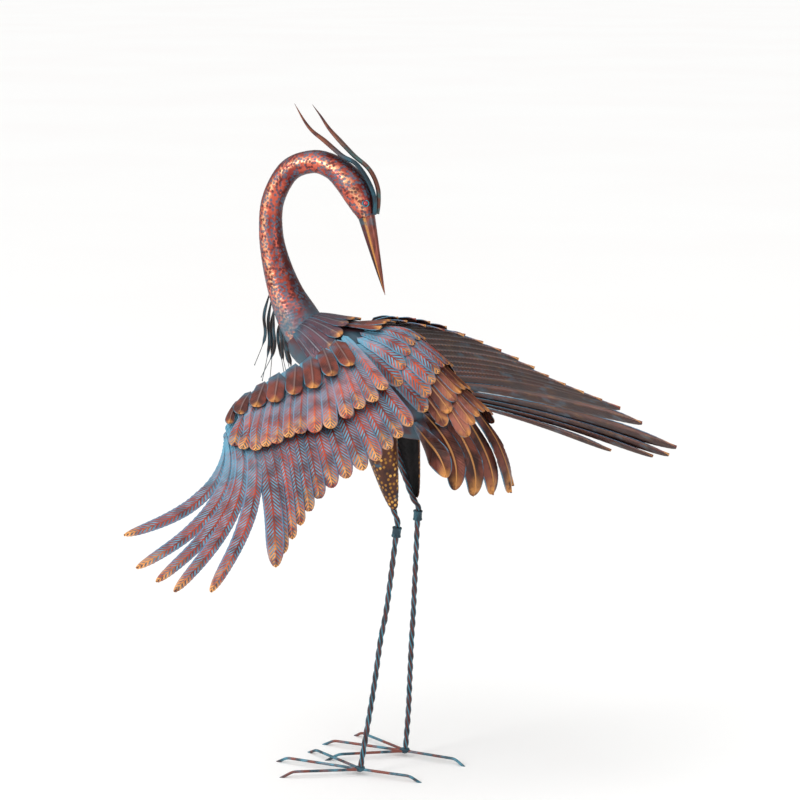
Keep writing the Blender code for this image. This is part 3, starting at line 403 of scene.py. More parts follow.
def chased_feathers_tree():
    """Feathers grown on their shafts: rounded vanes, raised shaft, chased barbs raked to the tip."""
    tree, given = new_tree("chased_feathers", {
        "Barb pitch": BARB_PITCH, "Barb rake": BARB_RAKE, "Barb depth": BARB_DEPTH,
        "Crown": FEATHER_RIDGE, "Crown run": RIDGE_RUN, "Shaft height": 0.0005,
        "Root run": 2.0, "Root share": 0.75, "Columns": 13})
    value = {"data_type": "FLOAT"}
    vector = {"data_type": "FLOAT_VECTOR"}

    # Rows along each shaft: four to a barb
    step = add(tree, "multiply", given["Barb pitch"], 0.25)
    shafts = add(tree, "GeometryNodeMeshToCurve", {"Mesh": given["Geometry"]})
    shafts = add(tree, "GeometryNodeResampleCurve", {"Curve": shafts, "Length": step}, mode="LENGTH")
    travel = add(tree, "GeometryNodeSplineParameter", give="Length")
    index = add(tree, "GeometryNodeSplineParameter", give="Index")
    share = add(tree, "GeometryNodeSplineParameter", give="Factor")
    total = add(tree, "GeometryNodeSplineLength", give="Length")
    forward = add(tree, "GeometryNodeInputTangent")
    centre = add(tree, "GeometryNodeInputPosition")
    upward = add(tree, "read", "upward", **vector)
    sideways = add(tree, "cross_product", forward, upward)
    sideways = add(tree, "normalize", sideways)
    outward = add(tree, "cross_product", sideways, forward)

    left_over = add(tree, "subtract", total, travel)
    barb = add(tree, "multiply", index, 0.25)

    for name, what, kind in (("centre", centre, vector), ("forward", forward, vector),
                             ("sideways", sideways, vector), ("outward", outward, vector),
                             ("left_over", left_over, value), ("barb", barb, value), ("share", share, value),
                             ("travel", travel, value)):
        shafts = add(tree, "store", shafts, name, what, data_type=kind["data_type"])

    # The flat sheet, then each point is carried to its place on the vane
    across_line = add(tree, "GeometryNodeCurvePrimitiveLine", {"Start": (-1, 0, 0), "End": (1, 0, 0)})
    across_line = add(tree, "GeometryNodeResampleCurve", {"Curve": across_line, "Count": given["Columns"]},
                      mode="COUNT")
    place = add(tree, "GeometryNodeInputPosition")
    across = add(tree, "ShaderNodeSeparateXYZ", {0: place}, give="X")
    across_line = add(tree, "store", across_line, "across", across)
    sheet = add(tree, "GeometryNodeCurveToMesh", {"Curve": shafts, "Profile Curve": across_line})

    read = {name: add(tree, "read", name, **vector) for name in ("centre", "forward", "sideways", "outward")}
    for name in ("half_width", "across", "barb", "travel", "left_over", "tilt", "lean", "taper"):
        read[name] = add(tree, "read", name, **value)

    off = add(tree, "absolute", read["across"])
    # The shaft lies off the middle by the lean: the vane is wider on one side of it
    half = add(tree, "multiply", read["lean"], add(tree, "sign", read["across"]))
    half = add(tree, "multiply", add(tree, "add", half, 1.0), read["half_width"])
    # The end of the vane is half an ellipse. A barb leaves the shaft at its row, raked forwards,
    # and stops where it meets that ellipse, so its reach and its width come from one equation.
    end_run = add(tree, "multiply", half, read["taper"])
    full_reach = add(tree, "multiply", half, given["Barb rake"])
    into = add(tree, "subtract", end_run, read["left_over"])
    slope = add(tree, "divide", full_reach, end_run)
    slope = add(tree, "multiply", slope, slope)
    ratio = add(tree, "divide", into, end_run)
    under = add(tree, "subtract", add(tree, "add", slope, 1.0), add(tree, "multiply", ratio, ratio))
    under = add(tree, "sqrt", add(tree, "maximum", under, 0.0))
    meets = add(tree, "add", into, add(tree, "multiply", full_reach, under))
    meets = add(tree, "divide", meets, add(tree, "add", slope, 1.0))
    meets = add(tree, "maximum", meets, 0.0)
    reach = add(tree, "minimum", full_reach, add(tree, "subtract", meets, into))
    ratio = add(tree, "divide", meets, end_run)
    width = add(tree, "subtract", 1.0, add(tree, "multiply", ratio, ratio))
    width = add(tree, "multiply", add(tree, "sqrt", add(tree, "maximum", width, 0.0)), half)
    root_run = add(tree, "multiply", read["half_width"], given["Root run"])
    root = add(tree, "divide", read["travel"], root_run, use_clamp=True)
    root = add(tree, "ramp", root, 0.0, 1.0, given["Root share"])
    width = add(tree, "multiply", width, root)
    aside = add(tree, "multiply", width, read["across"])
    rake = add(tree, "multiply", add(tree, "multiply", off, reach), root)

    # Height: the crown of the vane, the shaft, the chased grooves and the tilt over the neighbour
    rise = add(tree, "divide", read["travel"], given["Crown run"], use_clamp=True)
    crown = add(tree, "subtract", 1.0, off)
    crown = add(tree, "multiply", crown, given["Crown"])
    crown = add(tree, "multiply", crown, rise)
    on_shaft = add(tree, "range", off, 0.0, 0.12, 1.0, 0.0)
    shaft = add(tree, "multiply", on_shaft, given["Shaft height"])
    phase = add(tree, "fract", read["barb"])
    groove = add(tree, "greater_than", phase, 0.4)
    inner = add(tree, "ramp", off, 0.08, 0.20)
    outer = add(tree, "ramp", off, 0.78, 0.94, 1.0, 0.0)
    groove = add(tree, "multiply", groove, inner)
    groove = add(tree, "multiply", groove, outer)
    cut = add(tree, "multiply", groove, given["Barb depth"])
    tilt = add(tree, "multiply", read["across"], read["tilt"])
    height = add(tree, "add", crown, shaft)
    height = add(tree, "subtract", height, cut)
    height = add(tree, "add", height, tilt)

    place = read["centre"]
    for way, far in (("sideways", aside), ("forward", rake), ("outward", height)):
        step_to = add(tree, "scaled", read[way], far)
        place = add(tree, "moved", place, step_to)
    sheet = add(tree, "GeometryNodeSetPosition", {"Geometry": sheet, "Position": place})
    sheet = add(tree, "store", sheet, "groove", groove)
    for name in ("centre", "forward", "sideways", "outward", "upward", "half_width", "tilt", "lean", "taper",
                 "left_over"):
        sheet = add(tree, "GeometryNodeRemoveAttribute", {"Geometry": sheet, "Name": name})
    close_tree(tree, sheet, given["Material"])
    return tree


def bar_tree():
    """A bar along a path: round or square, with a twist, tapered by its own half sizes."""
    tree, given = new_tree("bar_along_path", {
        "Squareness": 1.0, "Turn length": LEG_TURN, "Step": 0.002, "Corners": 16})
    value = {"data_type": "FLOAT"}
    vector = {"data_type": "FLOAT_VECTOR"}
    path = add(tree, "GeometryNodeMeshToCurve", {"Mesh": given["Geometry"]})
    path = add(tree, "GeometryNodeResampleCurve", {"Curve": path, "Length": given["Step"]}, mode="LENGTH")
    travel = add(tree, "GeometryNodeSplineParameter", give="Length")
    forward = add(tree, "GeometryNodeInputTangent")
    centre = add(tree, "GeometryNodeInputPosition")
    upward = add(tree, "read", "upward", **vector)
    sideways = add(tree, "cross_product", forward, upward)
    sideways = add(tree, "normalize", sideways)
    outward = add(tree, "cross_product", sideways, forward)
    turns = add(tree, "divide", travel, given["Turn length"])
    turned = add(tree, "multiply", turns, 2 * math.pi)
    for name, what, kind in (("centre", centre, vector), ("sideways", sideways, vector),
                             ("outward", outward, vector), ("turned", turned, value),
                             ("travel", travel, value)):
        path = add(tree, "store", path, name, what, data_type=kind["data_type"])

    ring = add(tree, "GeometryNodeCurvePrimitiveCircle", {"Resolution": given["Corners"], "Radius": 0.001})
    index = add(tree, "GeometryNodeInputIndex")
    slice_angle = add(tree, "divide", 2 * math.pi, given["Corners"])
    angle = add(tree, "multiply", index, slice_angle)
    ring = add(tree, "store", ring, "angle", angle)
    bar = add(tree, "GeometryNodeCurveToMesh", {"Curve": path, "Profile Curve": ring, "Fill Caps": True})

    read = {name: add(tree, "read", name, **vector) for name in ("centre", "sideways", "outward")}
    for name in ("turned", "angle", "half_width", "half_height"):
        read[name] = add(tree, "read", name, **value)
    cosine = add(tree, "cosine", read["angle"])
    sine = add(tree, "sine", read["angle"])
    # A square reaches one over the larger of the two: corners lie at 45 degrees
    big = add(tree, "absolute", cosine)
    other = add(tree, "absolute", sine)
    big = add(tree, "maximum", big, other)
    reach = add(tree, "divide", 1.0, big)
    reach = add(tree, "ShaderNodeMix", {"Factor": given["Squareness"], "A": 1.0, "B": reach}, give="Result",
                data_type="FLOAT")
    turned_angle = add(tree, "add", read["angle"], read["turned"])
    cosine = add(tree, "cosine", turned_angle)
    sine = add(tree, "sine", turned_angle)
    place = read["centre"]
    for way, wave, half in (("sideways", cosine, "half_width"), ("outward", sine, "half_height")):
        far = add(tree, "multiply", wave, reach)
        far = add(tree, "multiply", far, read[half])
        step_to = add(tree, "scaled", read[way], far)
        place = add(tree, "moved", place, step_to)
    bar = add(tree, "GeometryNodeSetPosition", {"Geometry": bar, "Position": place})
    edge = add(tree, "range", reach, 1.0, math.sqrt(2))
    bar = add(tree, "store", bar, "edge", edge)
    for name in ("centre", "sideways", "outward", "turned", "angle", "upward", "half_width", "half_height"):
        bar = add(tree, "GeometryNodeRemoveAttribute", {"Geometry": bar, "Name": name})
    bar = add(tree, "GeometryNodeMergeByDistance", {"Geometry": bar, "Distance": 0.00001})
    close_tree(tree, bar, given["Material"])
    return tree


def hammer_tree():
    """Round hammer marks scattered over a skin and pressed into it."""
    tree, given = new_tree("hammer_marks", {
        "Spacing": DIMPLE_SPACING, "Mark radius": DIMPLE_RADIUS, "Mark depth": DIMPLE_DEPTH, "Seed": 7})
    skin = given["Geometry"]
    marks = add(tree, "GeometryNodeDistributePointsOnFaces",
                {"Mesh": skin, "Distance Min": given["Spacing"], "Density Max": 200000.0,
                 "Seed": given["Seed"]}, give="Points", distribute_method="POISSON")
    nearest = add(tree, "GeometryNodeSampleNearest", {"Geometry": marks}, domain="POINT")
    position = add(tree, "GeometryNodeInputPosition")
    middle = add(tree, "GeometryNodeSampleIndex", {"Geometry": marks, "Value": position, "Index": nearest},
                 data_type="FLOAT_VECTOR", domain="POINT")
    away = add(tree, "distance", middle, position)
    bowl = add(tree, "ramp", away, given["Mark radius"], 0.0)
    tone = add(tree, "FunctionNodeRandomValue", {"ID": nearest, "Seed": given["Seed"]}, give="Value",
               data_type="FLOAT")
    pressed = add(tree, "multiply", bowl, given["Mark depth"])
    pressed = add(tree, "multiply", pressed, -1.0)
    normal = add(tree, "GeometryNodeInputNormal")
    push = add(tree, "scaled", normal, pressed)
    skin = add(tree, "store", skin, "dimple", bowl)
    skin = add(tree, "store", skin, "tone", tone)
    skin = add(tree, "GeometryNodeSetPosition", {"Geometry": skin, "Offset": push})
    close_tree(tree, skin, given["Material"])
    return tree


TREES = {}


def grown(name, mesh, kind, material, **sizes):
    """The mesh that a tree makes of another, with the tree's sizes set by their names."""
    if kind not in TREES:
        TREES[kind] = {"feather": chased_feathers_tree, "bar": bar_tree, "hammer": hammer_tree}[kind]()
    tree = TREES[kind]
    holder = bpy.data.objects.new(name + "_plan", mesh)
    bpy.context.scene.collection.objects.link(holder)
    step = holder.modifiers.new("made", "NODES")
    step.node_group = tree
    wanted = {key.replace("_", " ").capitalize(): value for key, value in sizes.items()}
    for item in tree.interface.items_tree:
        if item.in_out == "INPUT" and item.name in wanted:
            step[item.identifier] = wanted.pop(item.name)
        if item.in_out == "INPUT" and item.name == "Material":
            step[item.identifier] = material
    assert not wanted, wanted
    graph = bpy.context.evaluated_depsgraph_get()
    made = bpy.data.meshes.new_from_object(holder.evaluated_get(graph))
    bpy.data.objects.remove(holder)
    made.name = name
    return made


def path_mesh(name, paths):
    """Edges along paths, each a dict of its points and of the values that its points carry."""
    mesh = bpy.data.meshes.new(name)
    points = []
    edges = []
    values = {}
    for path in paths:
        first = len(points)
        count = len(path["points"])
        points += [tuple(p) for p in path["points"]]
        edges += [(first + k, first + k + 1) for k in range(count - 1)]
        for key, value in path.items():
            if key == "points":
                continue
            many = value if isinstance(value, list) else [value] * count
            values.setdefault(key, []).extend(many)
    mesh.from_pydata(points, edges, [])
    for key, many in values.items():
        if isinstance(many[0], Vector):
            layer = mesh.attributes.new(key, "FLOAT_VECTOR", "POINT")
            layer.data.foreach_set("vector", np.array([tuple(v) for v in many], np.float32).ravel())
        else:
            layer = mesh.attributes.new(key, "FLOAT", "POINT")
            layer.data.foreach_set("value", np.array(many, np.float32))
    return mesh


def finish_piece(name, mesh, nodes):
    """Puts a finished mesh in the scene, on the statue, in place of its plain solids."""
    piece = bpy.data.objects.new(name, mesh)
    bpy.context.scene.collection.objects.link(piece)
    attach(piece, "root")
    if nodes:
        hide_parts(*nodes)
    return piece


def thicken(mesh, thickness, under, upright):
    """Gives a sheet its thickness, downwards from its chased face, with its own underside."""
    facing = Vector((0, 0, 0))
    for face in mesh.polygons:
        facing += face.normal * face.area
    if facing.dot(upright) < 0:
        mesh.flip_normals()
    mesh.materials.append(under)
    holder = bpy.data.objects.new("sheet", mesh)
    bpy.context.scene.collection.objects.link(holder)
    wall = holder.modifiers.new("sheet", "SOLIDIFY")
    wall.thickness = thickness
    wall.offset = -1
    wall.material_offset = 1
    wall.material_offset_rim = 0
    graph = bpy.context.evaluated_depsgraph_get()
    made = bpy.data.meshes.new_from_object(holder.evaluated_get(graph))
    bpy.data.objects.remove(holder)
    made.name = mesh.name
    return made


# Colours and materials

def paint(code):
    """An sRGB hex colour as linear values."""
    channels = [int(code[k:k + 2], 16) / 255 for k in (1, 3, 5)]
    return tuple(c / 12.92 if c <= 0.04045 else ((c + 0.055) / 1.055) ** 2.4 for c in channels) + (1.0,)


def clouds(tree, place, scale, low, high, detail=3.0):
    """Cloudy patches between 0 and 1, a patch about one over the scale across."""
    cloud = add(tree, "ShaderNodeTexNoise", {"Vector": place, "Scale": scale, "Detail": detail})
    return add(tree, "ramp", cloud, low, high)


# What is done to a value that the mesh carries before it's read as a mask
FOLDED = {"across": "absolute", "barb": "fract"}


def masked(tree, place, marks, strength=1.0):
    """The product of a few masks: clouds, scribed lines, or a value that the mesh carries.

    A value comes in smoothly where its two ends rise and fades evenly where they fall,
    unless a third word asks for a smooth fall.
    """
    whole = None
    for key, *ends in marks:
        if key == "clouds":
            mark = clouds(tree, place, *ends)
        elif key == "scribed":
            count = add(tree, "multiply", add(tree, "share", attribute_name="travel"), 1.0 / ends[0])
            off_line = add(tree, "absolute", add(tree, "subtract", add(tree, "fract", count), 0.5))
            mark = add(tree, "ramp", off_line, 0.30, 0.48)
        else:
            mark = add(tree, "share", attribute_name=key)
            if key in FOLDED:
                mark = add(tree, FOLDED[key], mark)
            if ends:
                smooth = ends[0] < ends[1] or "smooth" in ends
                mark = add(tree, "ramp" if smooth else "range", mark, *ends[:2])
        whole = mark if whole is None else add(tree, "times", whole, mark)
    return add(tree, "times", whole, strength) if strength < 1 else whole


def coloured(tree, place, look):
    """A look's colour: one hex colour, two in clouds (a tuple), or a ground with layers (a list)."""
    if isinstance(look, str):
        return paint(look)
    if isinstance(look, tuple):
        scale, low, high, main, other, *stretch = look
        if stretch:
            place = add(tree, "ShaderNodeMapping", {"Vector": place, "Scale": stretch[0]})
        patches = clouds(tree, place, scale, low, high)
        return add(tree, "mixed", patches, paint(main), paint(other))
    colour = coloured(tree, place, look[0])
    for marks, strength, over in look[1:]:
        mask = masked(tree, place, marks, strength)
        colour = add(tree, "mixed", mask, colour, coloured(tree, place, over))
    return colour


def new_paint(name, metallic, roughness, look, coat=0.0):
    """A paint with its look, and what finishes it further: its tree, shader and coordinates."""
    material = bpy.data.materials.new(name)
    material.use_nodes = True
    tree = material.node_tree
    shader = tree.nodes["Principled BSDF"]
    shader.inputs["Metallic"].default_value = metallic
    shader.inputs["Roughness"].default_value = roughness
    shader.inputs["Coat Weight"].default_value = coat
    place = add(tree, "object_place")
    tree.links.new(coloured(tree, place, look), shader.inputs["Base Color"])
    return material, tree, shader, place


def patina_feather_paint(name, ridge, deep, groove, seam, root_wash, gold_start):
    """Copper-coloured paint rubbed off chased ridges, with blue patina wash left in the grooves."""
    gold_place = ("share", gold_start, 1.02)
    in_groove = (("barb", 0.34, 0.50), ("barb", 1.0, 0.86), ("across", 0.06, 0.16), ("across", 0.88, 0.70))
    material, tree, shader, place = new_paint(name, 0.30, 0.42, [
        (45.0, 0.40, 0.66, ridge, deep),
        # Some feathers are darker than their neighbours
        ([("tone", 0.0, 1.82)], 1.0, deep),
        # Gold rub towards the tips, in patches
        ([gold_place, ("clouds", 70.0, 0.36, 0.56)], 1.0, "#E9A65A"),
        (in_groove, 0.95, [(60.0, 0.38, 0.62, groove, "#3E6476"), ([gold_place], 0.8, "#55291F")]),
        # Seam colour along the vane's edges, short of the tip
        ([("across", 0.74, 0.92), ("share", 1.02, gold_start, "smooth")], 0.85, seam),
        # Patina wash where the feather comes out from under the row above it
        ([("share", root_wash, 0.0), ("clouds", 38.0, 0.26, 0.52)], 1.0, "#64A3BD"),
    ])
    grain = add(tree, "ShaderNodeTexNoise", {"Vector": place, "Scale": PAINT_GRAIN, "Detail": 2.0})
    tree.links.new(add(tree, "range", grain, 0.0, 1.0, 0.34, 0.58), shader.inputs["Roughness"])
    bump = add(tree, "ShaderNodeBump", {"Strength": 0.25, "Distance": 0.0003, "Height": grain})
    tree.links.new(bump, shader.inputs["Normal"])
    return material


def brown_vane_paint(name, base, dark, seam, pitch, gold):
    """Brown bronze paint on smooth vanes: fine scribed barbs and a bright line on the shaft."""
    material, tree, shader, place = new_paint(name, 0.45, 0.36, [
        (35.0, 0.36, 0.64, base, dark),
        ([("scribed", pitch)], 0.45, dark),
        ([("across", 0.08, 0.12), ("across", 0.24, 0.14)], 0.7, dark),
        ([("across", 0.11, 0.05)], 0.65, gold),
        ([("across", 0.88, 0.98), ("clouds", 50.0, 0.36, 0.58)], 1.0, seam),
        ([("share", 0.72, 1.0), ("clouds", 60.0, 0.34, 0.56)], 0.95, "#D9944E"),
        ([("share", 0.34, 0.0), ("clouds", 42.0, 0.34, 0.60)], 0.8, seam),
    ])
    lines = masked(tree, place, [("scribed", pitch)])
    bump = add(tree, "ShaderNodeBump", {"Strength": 0.5, "Distance": 0.0004, "Height": lines})
    bump.node.invert = True
    tree.links.new(bump, shader.inputs["Normal"])
    return material


def hammered_copper_paint():
    """Copper-pink paint on hammered tube: slate left in the hammer marks, a painted highlight down each side
    with pale gold specks of painted glint in it, and painted shade at the nape and the throat.
    """
    marked = ("dimple", 0.05, 0.35)
    material, tree, shader, place = new_paint("hammered_copper_paint", 0.55, 0.34, [
        (34.0, 0.36, 0.62, "#C65A44", "#8A3229"),
        # Painted highlight: a lighter pink band down each side of the tube, with pale gold specks of painted
        # glint in it
        ([("streak",)], 0.55, "#E07A66"),
        ([("streak",), ("clouds", 210.0, 0.40, 0.56, 1.0)], 0.9, "#F6BC8C"),
        # Painted shade and dark reflection: the nape and the throat are darker than the sides of the tube
        ([("edge", 0.55, 0.98)], 0.9, "#43191B"),
        ([marked, ("tone", 0.16, 0.32)], 0.85, (60.0, 0.46, 0.60, "#4E6274", "#4A2024")),
        # Patina wash where the neck goes in under the mantle
        ([("wash",), ("clouds", 40.0, 0.30, 0.58)], 0.9, "#55707F"),
    ])
    rough = add(tree, "range", masked(tree, place, [marked]), 0.0, 1.0, 0.28, 0.46)
    tree.links.new(rough, shader.inputs["Roughness"])
    return material


# Paints that are all look: name, metallic, roughness, look and, for enamel, its gloss coat
GOLD_MARK = [("dimple", 0.12, 0.60), ("tone", 0.30, 0.50)]
PLAIN_PAINTS = {
    # Dark brown backing paint: dull, with the chased barbs showing in rust, slate and a little gold. It is
    # partly a darker paint and partly painted shade, as the undersides lie in shade: its near-black barbs and
    # rims are painted shade
    "under": ("backing_paint_and_shade", 0.25, 0.52, [
        (26.0, 0.40, 0.64, "#80402E", "#582C22"),
        ([("clouds", 60.0, 0.50, 0.66), ("share", 0.10, 0.50)], 0.65, "#A06A32"),
        ([("barb", 0.40, 0.56)], 0.85, (34.0, 0.54, 0.70, "#241718", "#33505E")),
        ([("across", 0.78, 0.96)], 0.8, "#1C1516")]),
    # Slate and brown paint on the hammered body, clouded
    "torso": ("slate_brown_paint", 0.3, 0.5, (30.0, 0.40, 0.60, "#54343A", "#38505E")),
    # Dark brown paint on a hammered shell, rubbed gold in round patches
    "thigh": ("mottled_brown_paint", 0.50, 0.38, [
        (40.0, 0.38, 0.62, "#3A2320", "#5A3424"),
        (GOLD_MARK, 1.0, "#A8742E"),
        (GOLD_MARK + [("tone", 0.80, 0.84)], 1.0, "#E0A850"),
        ([("clouds", 30.0, 0.62, 0.72)], 0.8, "#2F6E86")]),
    # Dull near-black inside of the hollow shells: partly the bare inside, partly painted shade within the
    # hollow
    "black": ("inner_black_and_shade_paint", 0.0, 0.60, (40.0, 0.40, 0.60, "#0C0B0C", "#1B1516")),
    # Rust-red paint on twisted bar, with teal patina rubbed on along its edges
    "leg": ("rust_and_teal_bar_paint", 0.35, 0.40, [
        (55.0, 0.38, 0.62, "#5A2A24", "#2C1A1C"),
        ([("edge", 0.16, 0.52)], 1.0, (45.0, 0.38, 0.64, "#3E8296", "#35505E")),
        ([("edge", 0.82, 0.98), ("clouds", 80.0, 0.44, 0.60)], 0.7, "#A6523C")]),
    # Teal and rust paint on round rod, in clouds
    "toe": ("teal_rod_paint", 0.30, 0.44, [
        (60.0, 0.38, 0.62, "#4A8092", "#2C3E48"),
        ([("clouds", 34.0, 0.46, 0.58)], 1.0, "#7A4238")]),
    # Teal patina on the collars and the welds
    "collar": ("teal_patina_paint", 0.30, 0.45, (70.0, 0.40, 0.60, "#2F5866", "#223A46")),
    # Near-black paint on thin strips, teal in the middle and worn brown at the rims
    "plume": ("dark_strip_paint", 0.40, 0.40, [
        (50.0, 0.40, 0.60, "#16191D", "#2A4652"),
        ([("across", 0.55, 0.95)], 0.75, "#6E5650")]),
    # Red enamel, glossy, on the eyes, and teal paint round them
    "eye": ("red_enamel", 0.2, 0.22, (200.0, 0.40, 0.60, "#B82830", "#8E1C28"), 0.6),
    "eye_ring": ("eye_ring_paint", 0.3, 0.40, (90.0, 0.40, 0.60, "#3FA0B0", "#2F7C90")),
}
# Paint on the crest's strips: patina near the crown, bare brown towards the tips
for strip, main, other in (("left_crest", "#28505E", "#2A3A44"), ("right_crest", "#6A4034", "#44605E")):
    PLAIN_PAINTS[strip] = (strip + "_paint", 0.40, 0.40, [
        (55.0, 0.44, 0.60, main, other),
        ([("travel", 0.085, 0.150)], 1.0, (60.0, 0.40, 0.62, "#7A4430", "#4A2A2A"))])
# Satin bronze paint on the beak, streaked lengthwise, rubbed bright along the crease
# The lower beak's colours are the upper's made darker: painted shade on the half that faces down
for beak, main, dark in (("upper_beak", "#965244", "#5E322A"), ("lower_beak", "#54282A", "#341A1C")):
    PLAIN_PAINTS[beak] = (beak + "_paint", 0.55, 0.32, [
        (120.0, 0.40, 0.62, main, dark, (1.0, 1.0, 0.16)),
        ([("crease", 0.62, 0.98)], 1.0, "#D0924E"),
        ([("share", 0.22, 0.02), ("clouds", 70.0, 0.40, 0.56)], 0.6, "#3F6E7A")])


# Forms

def torso_section(x, table):
    """Centre height, half height and half width of the body at x, all in thousandths."""
    for low, high in zip(table, table[1:]):
        if x <= high[0] or high is table[-1]:
            break
    share = (x - low[0]) / (high[0] - low[0])
    return tuple(a + (b - a) * share for a, b in zip(low[1:], high[1:]))


def body_point(x, angle, height, table):
    """A point at a height over the body, at an angle from straight up, positive to the right."""
    def raw(u, v):
        centre, half_height, half_width = torso_section(u, table)
        return Vector((u, half_width * math.sin(v), centre + half_height * math.cos(v)))
    here = raw(x, angle)
    along_x = raw(x + 1.5, angle) - raw(x - 1.5, angle)
    round_it = raw(x, angle + 0.02) - raw(x, angle - 0.02)
    outward = round_it.cross(along_x).normalized()
    if outward.dot(Vector((0, math.sin(angle), math.cos(angle)))) < 0:
        outward.negate()
    return at(*(here + outward * height)), outward


def skin(name, rings, closed=True):
    """A smooth skin through rings of equally many points."""
    sheet = bmesh.new()
    rows = [[sheet.verts.new(p) for p in ring] for ring in rings]
    count = len(rows[0])
    for low, high in zip(rows, rows[1:]):
        for k in range(count if closed else count - 1):
            n = (k + 1) % count
            sheet.faces.new((low[k], low[n], high[n], high[k]))
    if closed:
        sheet.faces.new(list(reversed(rows[0])))
        sheet.faces.new(rows[-1])
        bmesh.ops.recalc_face_normals(sheet, faces=sheet.faces)
    mesh = bpy.data.meshes.new(name)
    sheet.to_mesh(mesh)
    sheet.free()
    mesh.shade_smooth()
    return mesh


def flight_place(index):
    """Where along the arm a flight feather starts, from 1 at the hand to 0 at the shoulder."""
    if index < PRIMARIES:
        return 1 - PRIMARY_SHARE * index / PRIMARIES
    share = (index - PRIMARIES) / (SECONDARIES - 1)
    return (1 - PRIMARY_SHARE) * (1 - share) + SHOULDER_START * share


def flight_index(place):
    """The feather number, not always whole, that starts at a place along the arm."""
    if place >= 1 - PRIMARY_SHARE:
        return (1 - place) * PRIMARIES / PRIMARY_SHARE
    share = (1 - PRIMARY_SHARE - place) / (1 - PRIMARY_SHARE - SHOULDER_START)
    return PRIMARIES + share * (SECONDARIES - 1)


def wing_surface(wing):
    """A function from a place along the arm and a share of the feather's length to a point."""
    arm = catmull(wing["arm"], 60)
    tips = list(wing["primaries"]) + catmull(wing["secondaries"], SECONDARIES - 1)
    normal = Vector(wing["normal"]).normalized()
    out_bend, mid_bend, inner_bend, last_bend = wing["bend"]
    facing = 1 if wing["arm"][-1][1] < 0 else -1

    def point(place, share):
        index = flight_index(place)
        root = at(*along(arm, place))
        tip = at(*along(tips, index / (len(tips) - 1)))
        chord = tip - root
        length = chord.length
        across = normal.cross(chord).normalized() * facing
        if index <= PRIMARIES - 1:
            bend = out_bend + (mid_bend - out_bend) * index / (PRIMARIES - 1)
        elif index < PRIMARIES:
            bend = mid_bend + (inner_bend - mid_bend) * (index - PRIMARIES + 1)
        else:
            t = (index - PRIMARIES) / (SECONDARIES - 1)
            bend = inner_bend + (last_bend - inner_bend) * t
        control = root + chord / 2 + across * bend * length
        here = root.lerp(control, share).lerp(control.lerp(tip, share), share)
        camber = WING_CAMBER * length * 4 * share * (1 - share)
        return here + normal * camber, length
    return point, normal


def wing_shafts(wing, runs, half_widths, tapers, leans, layer, way):
    """The shafts of one row of a wing, with the room that each has beside its neighbours.

    A run is the shaft's start along the arm, the place in the fan of its tip and its reach.
    """
    surface, normal = wing_surface(wing)
    steps = 24
    paths = []
    for start, end, reach in runs:
        path = []
        for k in range(steps + 1):
            share = k / steps
            point, length = surface(start + (end - start) * share, share * reach)
            lift = layer * (COVERT_SEAT + COVERT_SLOPE * share * length * reach)
            path.append(point + normal * lift)
        paths.append(path)
    shafts = []
    for i, path in enumerate(paths):
        beside = [paths[k] for k in (i - 1, i + 1) if 0 <= k < len(paths)]
        halves = []
        for k, centre in enumerate(path):
            tangent = path[min(k + 1, steps)] - path[max(k - 1, 0)]
            side = tangent.cross(normal).normalized()
            room = max(abs((other[k] - centre).dot(side)) for other in beside)
            halves.append(min(half_widths[i](k / steps), room * VANE_FILL))
        shafts.append({"points": path, "half_width": halves, "upward": normal, "tilt": VANE_TILT * way,
                       "lean": leans[i], "taper": tapers[i], "tone": RANDOM.random()})
    return shafts


def build_wing(side, paints):
    wing = WINGS[side]
    way = 1 if side == "left" else -1
    upright = Vector(wing["normal"])
    flights = PRIMARIES + SECONDARIES
    tips = list(wing["primaries"]) + catmull(wing["secondaries"], SECONDARIES - 1)

    def primary_half(place, half):
        """Full to past the middle, then drawn in towards the point."""
        return half * (1 - (1 - PRIMARY_TIP_SHARE[side]) * max(0.0, (place - 0.6) / 0.4))

    half_widths = [lambda place, half=half * MIL: primary_half(place, half)
                   for half in PRIMARY_HALF_WIDTHS[side]]
    for i in range(PRIMARIES, flights):
        near = min(math.dist(tips[i], tips[k]) for k in (i - 1, i + 1) if PRIMARIES <= k < flights)
        half = min(near * VANE_FILL, SECONDARY_HALF_WIDTH) * MIL
        if i == PRIMARIES:
            half = FIRST_SECONDARY_HALF_WIDTH[side] * MIL
        half_widths.append(lambda place, half=half: half)
    runs = [(flight_place(i), flight_place(i), PRIMARY_REACH if i < PRIMARIES else 1.0)
            for i in range(flights)]
    first, second, rest = SECONDARY_TAPER[side]
    tapers = [PRIMARY_TAPER] * PRIMARIES + [first, second] + [rest] * (SECONDARIES - 2)
    leans = list(PRIMARY_LEANS[side]) + [0.0] * (SECONDARIES - 1)
    shafts = wing_shafts(wing, runs, half_widths, tapers, leans, 0, way)
    plan = path_mesh("flights_plan", shafts)
    mesh = grown(f"{side}_flights", plan, "feather", paints["flight"])
    mesh = thicken(mesh, FEATHER_SHEET, paints["under"], upright)
    finish_piece(f"{side}_flight_plate", mesh, [f"{side}_flight_feathers"])

    looks = {"median_coverts": ("covert", {}),
             "lesser_coverts": ("vane", {"barb_depth": 0.0002, "root_share": 1.0})}
    for layer, (word, tips) in enumerate(COVERT_TIPS.items(), 1):
        look, sizes = looks[word]
        runs = [(place * COVERT_STARTS[word], place, reach) for place, reach in tips]
        half = COVERT_HALF_WIDTHS[word] * MIL
        count = len(tips)
        shafts = wing_shafts(wing, runs, [lambda place: half] * count, [1.3] * count, [0.0] * count,
                             layer, way)
        plan = path_mesh(word + "_plan", shafts)
        mesh = grown(f"{side}_{word}_made", plan, "feather", paints[look], **sizes)
        mesh = thicken(mesh, FEATHER_SHEET, paints["under"], upright)
        finish_piece(f"{side}_{word}_plate", mesh, [f"{side}_{word}"])


